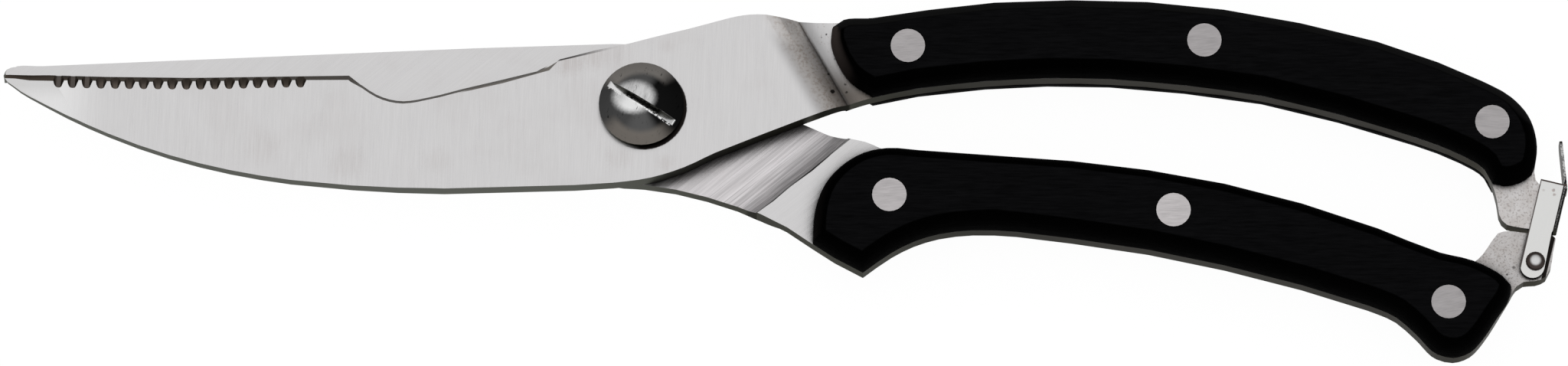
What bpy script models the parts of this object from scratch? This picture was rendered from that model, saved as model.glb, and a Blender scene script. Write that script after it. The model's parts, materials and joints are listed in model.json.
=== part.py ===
"""Game shears with half-lapped blades on a slotted pivot screw.

Sizes are in millimetres about the pivot axis, which runs along Z. The blades point to -X and the
handles to +X, lying flat with the screw head facing up. Every mesh is made in metres.
"""
import math

import bmesh
import bpy
from mathutils import Matrix

MM = 0.001

# Stack of one handle, from the table up: back grip, tang, front grip
GRIP_THICKNESS = 4.9
TANG_THICKNESS = 3.4
SEAT_GAP = 0.3
GRIP_EDGE_WIDTH = 2.3
GRIP_EDGE_LAND = 0.4
GRIP_EDGE_STEPS = 4
GRIP_EDGE_ROOM = 0.12
LOWER_BACK_INSET = 0.55

# Blades, lapped on the mid plane of the tangs
LAP_GAP = 0.3
FRONT_BLADE_THICKNESS = 3.75
REAR_BLADE_THICKNESS = 3.1
BLADE_TIP_THICKNESS = 1.0
POINT_THICKNESS = 2.45
BELLY_THICKNESS = 2.9
REAR_TIP_THICKNESS = 1.5
TIP_BEVEL = 0.85
EDGE_BEVEL = 0.47
NOTCH_BEVEL = 0.37
TIP_BEVEL_LENGTH = 20.0
BEVEL_RUNOUT = 4.0
EDGE_LAND = 0.05
NOSE_FACET = 0.25

# Serration gullets, ground at a slant into the front blade's bevel
GULLET_COUNT = 18
GULLET_PITCH = 2.281
GULLET_FIRST_X = -93.3
GULLET_SLOPE = 1.1
GULLET_LAST_SLOPE = 0.88
GULLET_START = 0.12
GULLET_WIDTH = 2.0
GULLET_REACH = 6.0
GULLET_FLOOR = [
    (-0.86, 1.13), (-0.78, 0.7), (-0.63, 0.32), (-0.4, 0.07), (-0.04, 0.0), (0.3, 0.06), (0.5, 0.3),
    (0.67, 0.73), (0.85, 1.13),
]

# Where each blade rises from its lapped face to its tang
LAP_FILLET_WIDTH = 3.5
LAP_FILLET_STEPS = 5
CREASE_DISTANCE = 29.05
CREASE_ANGLE = math.radians(29.3)
CENTRE_LINE = math.radians(-4.4)
RAMP_LENGTH = 4.4

# Pivot screw, washer and nut
HEAD_DIAMETER = 13.6
HEAD_RIM = 1.2
HEAD_DOME = 1.5
SHOULDER_DIAMETER = 7.0
THREAD_DIAMETER = 5.0
RUNNING_CLEARANCE = 0.12
HARDWARE_GAP = 0.15
SLOT_WIDTH = 1.0
SLOT_LENGTH = 11.8
SLOT_DEPTH = 1.5
SLOT_CENTRE_RISE = 0.35
SLOT_ANGLE = math.radians(-31.9)
WASHER_DIAMETER = 9.6
WASHER_THICKNESS = 0.5
NUT_ACROSS_FLATS = 8.0
NUT_HEIGHT = 2.0
NUT_CHAMFER = 0.4
THREAD_END = 0.2

# Opening spring in the recess between the blades
SPRING_RADIUS = 5.7
SPRING_WIRE = 1.2
SPRING_TURNS = 1.25
SPRING_PITCH = 1.45
SPRING_LEG = 1.9
SPRING_CLEARANCE = 0.3
RECESS_DEPTH = 1.5
SPRING_START = math.radians(200.0)
SPRING_STEPS_PER_TURN = 20

# Two-piece grip rivets
RIVET_HEAD_DIAMETER = 5.5
RIVET_HEAD_THICKNESS = 1.5
RIVET_BARREL_DIAMETER = 3.2
RIVET_BORE_DIAMETER = 2.3
RIVET_PIN_DIAMETER = 1.9
RIVET_CLEARANCE = 0.12
RIVET_FLUSH = 0.05
UPPER_RIVET_STEPS = {"front": (12.3, -2.0), "middle": (-3.2, -5.95), "rear": (-7.2, 1.8)}
LOWER_RIVET_STEPS = {"front": (10.4, -2.45), "middle": (3.9, 5.3), "rear": (-10.0, -2.0)}

# Latch stirrup, in a frame on its rivet that leans with the arms
LATCH_FROM_HEEL = (3.9, 4.2)
LATCH_LEAN = math.radians(13.65)
LATCH_SHEET = 0.58
LATCH_TOP = 13.43
LATCH_LEFT = -2.18
LATCH_WEB = 2.2
LATCH_BEND = 0.75
LATCH_WEB_LOW = 6.1
LATCH_WAIST = 1.65
LATCH_FOOT = -2.84
LATCH_PLAY = 0.35
LATCH_SIDE_PLAY = 0.42
LATCH_NECK = 0.9
LATCH_OVERLAP = 0.1
TAB_LENGTH = 7.65
TAB_THICKNESS = 0.42
TAB_LEAN = math.radians(5.0)
TAB_CORNER = 1.4
LATCH_RIVET_DIAMETER = 1.8
LATCH_RIVET_HEAD = 3.1
LATCH_RIVET_DOME = 0.8
LATCH_RIVET_PROFILE = [(0.55, 0.9), (0.9, 0.5), (1.0, 0.0)]
STUB_GAP = 0.85
STUB_EASE = 0.45

# Heights
TANG_LOW = GRIP_THICKNESS + SEAT_GAP
TANG_HIGH = TANG_LOW + TANG_THICKNESS
TOP = TANG_HIGH + SEAT_GAP + GRIP_THICKNESS
MID = (TANG_LOW + TANG_HIGH) / 2
FRONT_LAP = MID + LAP_GAP / 2
REAR_LAP = MID - LAP_GAP / 2
FRONT_FACE = FRONT_LAP + FRONT_BLADE_THICKNESS
REAR_FACE = REAR_LAP - REAR_BLADE_THICKNESS
STOCK = 1.0

# Outlines, as points on smooth curves
UPPER_EDGE = [
    (37.0, 14.65), (46.0, 16.0), (56.5, 17.2), (68.8, 17.6), (81.0, 17.3), (93.2, 16.05),
    (105.5, 13.8), (117.7, 10.75), (127.5, 7.3), (134.5, 4.2), (139.2, 1.5), (141.9, -1.6),
    (143.1, -5.2), (143.0, -8.6),
]
UPPER_INNER = [
    (134.8, -10.1), (131.0, -7.6), (123.8, -4.7), (111.6, -0.9), (99.4, 2.15), (87.0, 3.9),
    (75.0, 4.95), (65.0, 5.1), (55.0, 4.6), (44.3, 3.4), (37.0, 1.9),
]
UPPER_HEEL = [(142.3, -10.9), (140.3, -12.3), (137.9, -12.8), (136.0, -12.4)]
UPPER_NOSE = [(33.6, 4.15), (31.4, 7.4), (30.3, 11.2), (30.5, 13.1), (31.5, 13.95)]
UPPER_STUB_NECK = [(142.75, -10.4), (142.95, -11.7)]
UPPER_STUB_FRONT = [(138.3, -19.1), (137.5, -18.4), (136.7, -15.0), (136.0, -12.4)]
STUB_CORNER = 1.0
STUB_LEVEL = -19.74
STUB_SLOPE = -0.114

LOWER_INNER = [
    (39.3, -6.85), (44.3, -7.2), (56.5, -8.1), (68.8, -9.0), (81.0, -10.5), (93.2, -12.75),
    (105.5, -16.0), (117.7, -20.15), (127.5, -24.1), (132.7, -25.4),
]
LOWER_HEEL = [(135.6, -26.75), (137.5, -28.0), (138.8, -29.5)]
LATCH_X = LOWER_HEEL[-1][0] + LATCH_FROM_HEEL[0]
LATCH_Y = LOWER_HEEL[-1][1] + LATCH_FROM_HEEL[1]
LOWER_OUTER = [
    (138.6, -31.0), (136.2, -35.0), (134.2, -38.0), (132.2, -40.1), (129.5, -41.0), (126.9, -40.4),
    (123.5, -37.1), (120.5, -34.4), (116.0, -32.4), (105.5, -29.05), (93.2, -25.8), (81.0, -23.2),
    (68.8, -21.35), (60.0, -20.25), (53.0, -20.0), (47.5, -20.65), (43.5, -21.9), (40.0, -23.7),
]
LOWER_HOOK = (35.4, -27.0)
LOWER_HOOK_LEFT = [(30.9, -24.6), (27.4, -22.3)]
LOWER_NOSE = [(27.8, -16.8), (29.2, -12.95), (31.7, -10.0), (35.6, -7.6)]
LOWER_STUB = [(134.4, -23.9), (135.8, -21.8), (136.8, -20.5)]
LOWER_STUB_END = [
    (145.6, -23.4), (145.2, -26.0), (144.4, -27.6), (142.7, -28.35), (140.8, -28.5), (139.6, -29.3),
]

FRONT_EDGE = [(-101.9, 6.1), (-98.0, 6.0), (-86.0, 5.75), (-70.0, 5.6), (-55.0, 5.85), (-46.9, 5.95)]
FRONT_NOTCH = [
    (-44.7, 4.25), (-42.5, 2.8), (-40.3, 1.98), (-38.1, 1.7), (-35.9, 1.95), (-28.6, 3.75), (-16.8, 6.65),
]
FRONT_PLATE_TOP = [
    (-14.6, 7.35), (-12.4, 7.85), (-7.3, 9.2), (-2.0, 10.3), (2.9, 11.6), (7.6, 12.75), (12.5, 14.1),
    (15.0, 14.75), (17.4, 15.1), (19.9, 15.1), (22.1, 14.8), (25.2, 14.45), (30.9, 14.25),
]
FRONT_PLATE_LOW = [
    (33.7, 0.9), (29.9, -0.6), (25.8, -2.15), (19.2, -4.75), (11.8, -7.75), (6.8, -10.15), (1.5, -11.85),
    (-4.5, -12.7),
]
FRONT_SPINE = [
    (-16.8, -13.25), (-31.5, -13.65), (-46.2, -13.0), (-56.0, -12.05), (-65.7, -10.4), (-75.5, -7.85),
    (-85.3, -4.25), (-95.1, 0.55), (-100.7, 4.05), (-102.0, 5.3),
]
REAR_PLATE_TOP = [
    (35.8, -5.4), (33.0, -4.8), (30.0, -3.9), (26.0, -2.1), (19.7, 1.4), (12.8, 5.5), (8.2, 8.6),
    (4.0, 10.6), (0.0, 11.2),
]
REAR_SPINE = [(-4.8, 11.3), (-26.6, 10.6), (-53.5, 9.4), (-78.0, 8.35), (-96.0, 7.63), (-101.0, 7.4)]
REAR_NOSE = [(-101.7, 7.1), (-101.95, 6.45), (-101.8, 5.8), (-101.2, 5.2)]
REAR_EDGE = [(-90.0, 3.2), (-70.0, 1.2), (-46.0, -0.9), (-25.0, -2.6), (-15.5, -4.2)]
REAR_PLATE_LOW = [
    (-9.0, -9.6), (-4.5, -11.6), (0.5, -12.05), (5.5, -12.8), (10.5, -14.05), (15.5, -15.7),
    (19.25, -17.4), (23.3, -19.5),
]
REAR_STEP = [
    (33.6, -4.3), (32.6, -5.25), (29.9, -7.9), (27.3, -10.2), (23.8, -12.8), (21.1, -15.2), (18.2, -17.3),
]
FAR = 170.0


def stepped(anchors, steps):
    """Rivet places, each a step in from a point on its grip's outline."""
    return {name: (anchors[name][0] + x, anchors[name][1] + y) for name, (x, y) in steps.items()}


UPPER_RIVETS = stepped(
    {"front": UPPER_NOSE[2], "middle": UPPER_EDGE[5], "rear": UPPER_EDGE[-2]}, UPPER_RIVET_STEPS
)
LOWER_RIVETS = stepped(
    {"front": LOWER_NOSE[1], "middle": LOWER_OUTER[11], "rear": LOWER_OUTER[0]}, LOWER_RIVET_STEPS
)

# Curve sampling, and the facets round each turned shape
TURN_STEP = math.radians(6.0)
BLADE_TURN_STEP = math.radians(3.0)
SHORTEST_STEP = 0.9
FINE_STEP = 0.35
STEP_SAMPLE = 2.0
HEAD_SIDES = 40
DOME_RINGS = 5
SLOT_WHEEL_SIDES = 64
THREAD_SIDES = 32
NUT_CONE_SIDES = 36
SHANK_SIDES = 20
RIVET_SIDES = 24

BRUSHED_STEEL = ((0.62, 0.62, 0.61, 1.0), 0.34, 1.0)
DARK_STEEL = ((0.16, 0.16, 0.15, 1.0), 0.3, 1.0)
PLAIN_STEEL = ((0.5, 0.5, 0.49, 1.0), 0.4, 1.0)
BLACK_PLASTIC = ((0.012, 0.012, 0.013, 1.0), 0.5, 0.0)


def corner(point):
    """The point, marked as a break in its curve."""
    return (*point, True)


def sampled(points, shortest=SHORTEST_STEP, turn_step=TURN_STEP):
    """Points along the closed smooth curve through the given ones, closer where it turns more."""
    count = len(points)
    flat = [point[:2] for point in points]
    breaks = [len(point) > 2 for point in points]

    def tangent(index, forward):
        here, before, after = flat[index], flat[index - 1], flat[(index + 1) % count]
        back = (here[0] - before[0], here[1] - before[1])
        ahead = (after[0] - here[0], after[1] - here[1])
        back_length, ahead_length = math.hypot(*back), math.hypot(*ahead)
        if breaks[index]:
            vector, length = (ahead, ahead_length) if forward else (back, back_length)
            return vector[0] / length, vector[1] / length
        total = back_length + ahead_length
        return tuple(
            (back[axis] / back_length * ahead_length + ahead[axis] / ahead_length * back_length) / total
            for axis in (0, 1)
        )

    result = []
    for index in range(count):
        start, end = flat[index], flat[(index + 1) % count]
        length = math.dist(start, end)
        leave, arrive = tangent(index, True), tangent((index + 1) % count, False)

        def at(t):
            weights = (2 * t**3 - 3 * t**2 + 1, t**3 - 2 * t**2 + t, 3 * t**2 - 2 * t**3, t**3 - t**2)
            return tuple(
                weights[0] * start[axis] + weights[1] * leave[axis] * length
                + weights[2] * end[axis] + weights[3] * arrive[axis] * length
                for axis in (0, 1)
            )

        trial = [at(step / 12) for step in range(13)]
        turning = 0.0
        for first, second, third in zip(trial, trial[1:], trial[2:]):
            before = math.atan2(second[1] - first[1], second[0] - first[0])
            after = math.atan2(third[1] - second[1], third[0] - second[0])
            turning += abs(math.remainder(after - before, math.tau))
        steps = max(1, min(math.ceil(turning / turn_step), int(length / shortest)))
        result += [at(step / steps) for step in range(steps)]
    return result


def material(name, finish):
    """A Principled material with the given colour, roughness and metallic value."""
    made = bpy.data.materials.new(name)
    made.use_nodes = True
    shader = made.node_tree.nodes["Principled BSDF"]
    shader.inputs["Base Color"].default_value = finish[0]
    shader.inputs["Roughness"].default_value = finish[1]
    shader.inputs["Metallic"].default_value = finish[2]
    made.diffuse_color = finish[0]
    return made


def new_object(name, mesh, finish, parent):
    """A named part with its own material, or a cutter where it has no finish."""
    obj = bpy.data.objects.new(name, mesh)
    if finish is None:
        cutters.objects.link(obj)
        obj.hide_render = True
        obj.display_type = "WIRE"
    else:
        parts.objects.link(obj)
        mesh.materials.append(material(name, finish))
    obj.parent = parent
    return obj


def blank_mesh(name, points, low, high):
    """The mesh of a filled flat outline between two heights, closed and welded."""
    curve = bpy.data.curves.new(name, "CURVE")
    curve.dimensions = "2D"
    curve.fill_mode = "BOTH"
    curve.extrude = (high - low) / 2 * MM
    spline = curve.splines.new("POLY")
    spline.points.add(len(points) - 1)
    for slot, (x, y) in zip(spline.points, points):
        slot.co = (x * MM, y * MM, 0.0, 1.0)
    spline.use_cyclic_u = True
    source = bpy.data.objects.new(name, curve)
    bpy.context.scene.collection.objects.link(source)
    graph = bpy.context.evaluated_depsgraph_get()
    mesh = bpy.data.meshes.new_from_object(source.evaluated_get(graph))
    bpy.data.objects.remove(source)
    bpy.data.curves.remove(curve)
    mesh.name = name
    work = bmesh.new()
    work.from_mesh(mesh)
    bmesh.ops.remove_doubles(work, verts=work.verts, dist=0.001 * MM)
    bmesh.ops.dissolve_limit(work, angle_limit=math.radians(0.1), verts=work.verts, edges=work.edges)
    bmesh.ops.translate(work, verts=work.verts, vec=(0.0, 0.0, (low + high) / 2 * MM))
    bmesh.ops.recalc_face_normals(work, faces=work.faces)
    work.to_mesh(mesh)
    work.free()
    return mesh


def blank(name, points, low, high, finish=None, parent=None):
    """A flat outline between two heights, as an object."""
    return new_object(name, blank_mesh(name, points, low, high), finish, parent)


def crowned(name, points, seat, crown, width, land, steps, finish=None, parent=None):
    """A slab from its flat seat to its flat crown, its edge rolled over in a quarter ellipse."""
    rise = abs(crown - seat) - land
    squash = width / rise
    mesh = blank_mesh(name, points, 0.0, width + land * squash)
    work = bmesh.new()
    work.from_mesh(mesh)
    half = (width + land * squash) / 2 * MM
    rim = [edge for edge in work.edges if all(vert.co.z > half for vert in edge.verts)]
    bmesh.ops.bevel(work, geom=rim, offset=width * MM, segments=steps, profile=0.5, affect="EDGES")
    side = math.copysign(1.0, crown - seat)
    for vert in work.verts:
        vert.co.z = seat * MM + side * vert.co.z / squash
    split_quads(work)
    work.normal_update()
    bmesh.ops.recalc_face_normals(work, faces=work.faces)
    work.to_mesh(mesh)
    work.free()
    return new_object(name, mesh, finish, parent)


def turned(name, profile, sides, finish=None, parent=None, place=(0.0, 0.0)):
    """A body of revolution about Z. The profile runs from its top down, as (radius, height)."""
    mesh = bpy.data.meshes.new(name)
    work = bmesh.new()
    verts = [work.verts.new((radius * MM, 0.0, height * MM)) for radius, height in profile]
    for first, second in zip(verts, verts[1:]):
        work.edges.new((first, second))
    if profile[0][0] > 0.0:
        work.edges.new((verts[-1], verts[0]))
    work.to_mesh(mesh)
    work.free()
    obj = new_object(name, mesh, finish, parent)
    obj.location = (place[0] * MM, place[1] * MM, 0.0)
    screw = obj.modifiers.new("turn", "SCREW")
    screw.steps = sides
    screw.render_steps = sides
    screw.use_merge_vertices = True
    screw.merge_threshold = 0.005 * MM
    screw.use_smooth_shade = False
    return obj


def cut(target, cutter, operation="DIFFERENCE"):
    """One exact Boolean of the cutter on the target."""
    modifier = target.modifiers.new(cutter.name, "BOOLEAN")
    modifier.operation = operation
    modifier.object = cutter
    modifier.solver = "EXACT"


def drill(name, place, low, high, diameter, sides=RIVET_SIDES):
    """A round cutter along Z."""
    radius = diameter / 2
    return turned(name, [(0.0, high), (radius, high), (radius, low), (0.0, low)], sides, None, root, place)


def split_quads(work):
    """Makes the bent quads of a wall into flat triangles."""
    bmesh.ops.triangulate(work, faces=[face for face in work.faces if len(face.verts) == 4])


def lean(mesh, level, slope):
    """Moves each vertex by slope(x, y) times its height over the level, so that the wall leans."""
    work = bmesh.new()
    work.from_mesh(mesh)
    for vert in work.verts:
        rise = vert.co.z - level * MM
        across, along = slope(vert.co.x / MM, vert.co.y / MM)
        vert.co.x += across * rise
        vert.co.y += along * rise
    split_quads(work)
    work.to_mesh(mesh)
    work.free()


def inset(points, distance):
    """The closed outline moved inwards by a distance. Its points run clockwise."""
    result = []
    for index, here in enumerate(points):
        before, after = points[index - 1], points[(index + 1) % len(points)]
        first = math.atan2(here[1] - before[1], here[0] - before[0])
        turn = math.remainder(math.atan2(after[1] - here[1], after[0] - here[0]) - first, math.tau)
        middle = first + turn / 2
        reach = distance / math.cos(turn / 2)
        result.append((here[0] + reach * math.sin(middle), here[1] - reach * math.cos(middle)))
    return result


def mirrored(points):
    """The points on the other side of the shears' centre line."""
    turn = 2 * CENTRE_LINE
    result = []
    for x, y in points:
        angle, radius = turn - math.atan2(y, x), math.hypot(x, y)
        result.append((radius * math.cos(angle), radius * math.sin(angle)))
    return result


def at_latch(across, along):
    """A point given across and along the latch arm, in the plane of the blades."""
    sine, cosine = math.sin(LATCH_LEAN), math.cos(LATCH_LEAN)
    return LATCH_X + across * cosine + along * sine, LATCH_Y - across * sine + along * cosine


def stub_line(x):
    """Height in the plan of the upper stub's lower edge at x."""
    return STUB_LEVEL + STUB_SLOPE * (x - LATCH_X)


def face_cutter(name, stations, lap, tang, direction, angle):
    """The stock outside a blade's outer face: its taper, its heel ramp and the tang beyond it."""
    heel = stations[-1][1]
    ramp = CREASE_DISTANCE - RAMP_LENGTH
    thickness = [(-FAR, stations[0][1])] + stations + [(ramp, heel)]
    drop = heel - abs(tang - lap)
    bow = [(ramp + RAMP_LENGTH * share, heel - drop * share**2) for share in (0.4, 0.65, 0.85)]
    wall = [(u, lap + direction * t) for u, t in thickness + bow] + [(CREASE_DISTANCE, tang), (FAR, tang)]
    outer = lap + direction * (heel + 2 * STOCK)
    cutter = blank(name, wall + [(FAR, outer), (-FAR, outer)], -FAR, FAR, None, root)
    cutter.rotation_euler = (math.pi / 2, 0.0, angle)
    return cutter


def lap_cutter(name, step, lap, tang):
    """The stock removed for the other blade, ending in a hollow-ground step along the given line."""
    first, last = step[0], step[-1]
    side = math.copysign(FAR, first[1] - last[1])
    outline = [corner((first[0], side)), corner((-FAR, side))]
    outline += [corner((-FAR, -side)), corner((last[0], -side))]
    outline += [corner(last)] + step[-2:0:-1] + [corner(first)]
    direction = math.copysign(1.0, tang - lap)
    return crowned(
        name, sampled(outline, STEP_SAMPLE), tang + direction * STOCK, lap, LAP_FILLET_WIDTH, STOCK,
        LAP_FILLET_STEPS, None, root,
    )


def edge_level(x):
    """Height in the plan of the front blade's cutting edge at x."""
    for (left, low), (right, high) in zip(FRONT_EDGE, FRONT_EDGE[1:]):
        if x <= right:
            break
    return low + (high - low) * (x - left) / (right - left)


def gullets():
    """Round-bottomed cutters that lean back from just above the front blade's edge."""
    mesh = bpy.data.meshes.new("gullets")
    work = bmesh.new()
    half = GULLET_WIDTH / 2
    shape = [corner((-half, GULLET_REACH))] + GULLET_FLOOR + [corner((half, GULLET_REACH))]
    single = blank_mesh("gullet", sampled(shape), FRONT_LAP - STOCK, FRONT_FACE + STOCK)
    for index in range(GULLET_COUNT):
        x = GULLET_FIRST_X + index * GULLET_PITCH
        slope = GULLET_SLOPE + (GULLET_LAST_SLOPE - GULLET_SLOPE) * index / (GULLET_COUNT - 1)
        before = len(work.verts)
        work.from_mesh(single)
        work.verts.ensure_lookup_table()
        for vert in work.verts[before:]:
            vert.co.x += x * MM
            vert.co.y += (edge_level(x) + GULLET_START) * MM - slope * (vert.co.z - FRONT_LAP * MM)
    work.to_mesh(mesh)
    work.free()
    bpy.data.meshes.remove(single)
    return new_object("gullet_cutters", mesh, None, root)


def recess(name, lap, direction, leg_angle):
    """The ring-shaped pocket for the spring in one blade, with the slot for the spring's leg."""
    inner = SPRING_RADIUS - SPRING_WIRE / 2 - SPRING_CLEARANCE
    outer = SPRING_RADIUS + SPRING_WIRE / 2 + SPRING_CLEARANCE
    floor = lap + direction * RECESS_DEPTH
    mouth = lap - direction * STOCK
    high, low = max(floor, mouth), min(floor, mouth)
    ring = turned(name, [(inner, high), (outer, high), (outer, low), (inner, low)], HEAD_SIDES, None, root)
    width = SPRING_WIRE / 2 + SPRING_CLEARANCE
    reach = SPRING_RADIUS + SPRING_LEG + SPRING_CLEARANCE + SPRING_WIRE / 2
    slot_outline = [(SPRING_RADIUS, -width), (reach, -width), (reach, width), (SPRING_RADIUS, width)]
    slot = blank(name + "_leg_slot", slot_outline, low, high, None, root)
    slot.rotation_euler = (0.0, 0.0, leg_angle)
    return ring, slot


def edge_bevel():
    """The stock over the front blade's cutting edge and bone notch, with a wall that leans back."""
    tip, notch_start = FRONT_EDGE[0], FRONT_EDGE[-1][0]
    notch_end, run_end = FRONT_PLATE_TOP[1][0], FRONT_PLATE_TOP[2]
    clear = run_end[1] + STOCK
    line = [corner((tip[0] - 2 * STOCK, tip[1]))] + FRONT_EDGE[:-1] + [corner(FRONT_EDGE[-1])]
    line += FRONT_NOTCH + FRONT_PLATE_TOP[:2] + [corner(run_end)]
    outline = [(point[0], point[1] + EDGE_LAND, *point[2:]) for point in line]
    outline += [corner((run_end[0], clear)), corner((tip[0] - 2 * STOCK, clear))]
    cutter = blank("edge_bevel_cutter", sampled(outline), FRONT_LAP - STOCK, FRONT_FACE + STOCK, None, root)

    def slope(x, y):
        if y > clear - STOCK / 2:
            return 0.0, 0.0
        if x > notch_start + STOCK / 2:
            return 0.0, -NOTCH_BEVEL * max(0.0, min(1.0, (notch_end - x) / BEVEL_RUNOUT))
        share = max(0.0, 1.0 - (x - tip[0]) / TIP_BEVEL_LENGTH)
        return 0.0, -(EDGE_BEVEL + (TIP_BEVEL - EDGE_BEVEL) * share)

    lean(cutter.data, FRONT_LAP, slope)
    return cutter


def front_blade():
    """The blade on top, with its tang in the upper handle."""
    ledge = LATCH_TOP - LATCH_SHEET - LATCH_PLAY
    right = LATCH_WEB - LATCH_SHEET - LATCH_SIDE_PLAY
    toe = at_latch(right, (stub_line(LATCH_X) - LATCH_Y) / math.cos(LATCH_LEAN))
    turn = UPPER_STUB_FRONT[0][0] + STUB_CORNER
    stub = [
        at_latch(LATCH_LEFT + STUB_EASE / 2, ledge), corner(at_latch(right - STUB_EASE, ledge)),
        corner(at_latch(right, ledge - STUB_EASE)), corner((toe[0], stub_line(toe[0]))),
        (turn, stub_line(turn)),
    ]
    outline = [corner(FRONT_EDGE[0])] + FRONT_EDGE[1:-1] + [corner(FRONT_EDGE[-1])] + FRONT_NOTCH
    outline += FRONT_PLATE_TOP + UPPER_EDGE + UPPER_STUB_NECK + stub + UPPER_STUB_FRONT
    outline += UPPER_INNER + FRONT_PLATE_LOW + FRONT_SPINE
    stock_top = FRONT_FACE + STOCK / 2
    points = sampled(outline, turn_step=BLADE_TURN_STEP)
    blade = blank("front_blade", points, TANG_LOW, stock_top, BRUSHED_STEEL, pivot)
    cut(blade, edge_bevel())
    bore = SHOULDER_DIAMETER + 2 * RUNNING_CLEARANCE
    cut(blade, drill("front_pivot_bore", (0.0, 0.0), 0.0, TOP, bore, HEAD_SIDES))
    cut(blade, gullets())
    stations = [
        (-86.4, BLADE_TIP_THICKNESS), (-79.6, POINT_THICKNESS), (-62.0, BELLY_THICKNESS),
        (-48.0, BELLY_THICKNESS + 0.2), (-36.0, FRONT_BLADE_THICKNESS),
    ]
    cut(blade, face_cutter("front_face_cutter", stations, FRONT_LAP, TANG_HIGH, 1.0, CREASE_ANGLE))
    cut(blade, lap_cutter("front_lap_cutter", mirrored(REAR_STEP), FRONT_LAP, TANG_LOW))
    end_angle = SPRING_START + math.tau * SPRING_TURNS
    for tool in recess("front_spring_recess", FRONT_LAP, 1.0, end_angle):
        cut(blade, tool)
    return blade


def rear_blade():
    """The blade underneath, with its tang in the lower handle."""
    stub_left = LOWER_STUB[-1][0] + 4 * STUB_EASE
    stub_right = LOWER_STUB_END[0][0] + STUB_EASE
    stub_steps = (stub_left, stub_left + 4 * STUB_EASE, stub_right - STUB_EASE)
    stub_top = [(x, stub_line(x) - STUB_GAP) for x in stub_steps]
    outline = REAR_SPINE + REAR_NOSE + REAR_EDGE + REAR_PLATE_LOW + LOWER_HOOK_LEFT[::-1]
    outline += [corner(LOWER_HOOK)] + LOWER_OUTER[::-1] + LOWER_STUB_END[::-1]
    outline += [corner((stub_right, stub_top[-1][1] - STUB_EASE)), corner(stub_top[-1])] + stub_top[-2::-1]
    outline += LOWER_STUB[::-1] + LOWER_INNER[::-1] + REAR_PLATE_TOP
    stock_low = REAR_FACE - STOCK / 2
    blade = blank("rear_blade", sampled(outline), stock_low, TANG_HIGH, BRUSHED_STEEL, root)
    edge_end = REAR_EDGE[-1][0]

    def slope(x, y):
        if x < REAR_SPINE[-1][0] + 0.1 and y > REAR_NOSE[-1][1] + 0.05:
            return NOSE_FACET, 0.0
        if x < edge_end + 0.5 and y < REAR_NOSE[-1][1] + 0.05:
            return 0.0, -EDGE_BEVEL * min(1.0, (edge_end + 1.0 - x) / BEVEL_RUNOUT)
        return 0.0, 0.0

    lean(blade.data, REAR_LAP, slope)
    bore = THREAD_DIAMETER + 2 * RUNNING_CLEARANCE
    cut(blade, drill("rear_pivot_bore", (0.0, 0.0), 0.0, TOP, bore, THREAD_SIDES))
    stations = [(-86.4, REAR_TIP_THICKNESS), (-62.0, BELLY_THICKNESS - 0.5), (-36.0, REAR_BLADE_THICKNESS)]
    angle = 2 * CENTRE_LINE - CREASE_ANGLE
    cut(blade, face_cutter("rear_face_cutter", stations, REAR_LAP, TANG_LOW, -1.0, angle))
    cut(blade, lap_cutter("rear_lap_cutter", REAR_STEP, REAR_LAP, TANG_HIGH))
    for tool in recess("rear_spring_recess", REAR_LAP, -1.0, SPRING_START):
        cut(blade, tool)
    bore = LATCH_RIVET_DIAMETER + 2 * RUNNING_CLEARANCE
    cut(blade, drill("stub_bore", (LATCH_X, LATCH_Y), 0.0, TOP, bore))
    return blade


def roomy(outline):
    """The outline without the points that stand too close for the rolled edge inside it."""
    points = [point[:2] for point in outline]
    while True:
        count = len(points)
        steps = [math.dist(points[index], points[(index + 1) % count]) for index in range(count)]
        bearings = [
            math.atan2(points[(index + 1) % count][1] - points[index][1],
                       points[(index + 1) % count][0] - points[index][0])
            for index in range(count)
        ]
        turns = [abs(math.remainder(bearings[index] - bearings[index - 1], math.tau)) for index in range(count)]
        needs = [GRIP_EDGE_WIDTH * math.tan(turn / 2) for turn in turns]
        room = [steps[index] - needs[index] - needs[(index + 1) % count] for index in range(count)]
        tightest = room.index(min(room))
        if room[tightest] > GRIP_EDGE_ROOM:
            return points
        following = (tightest + 1) % count
        del points[tightest if turns[tightest] < turns[following] else following]


def grip(name, outline, seat, crown, parent):
    """One grip scale, flat on its tang, with its upper edge rolled over."""
    return crowned(
        name, roomy(outline), seat, crown, GRIP_EDGE_WIDTH, GRIP_EDGE_LAND, GRIP_EDGE_STEPS,
        BLACK_PLASTIC, parent,
    )


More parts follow.
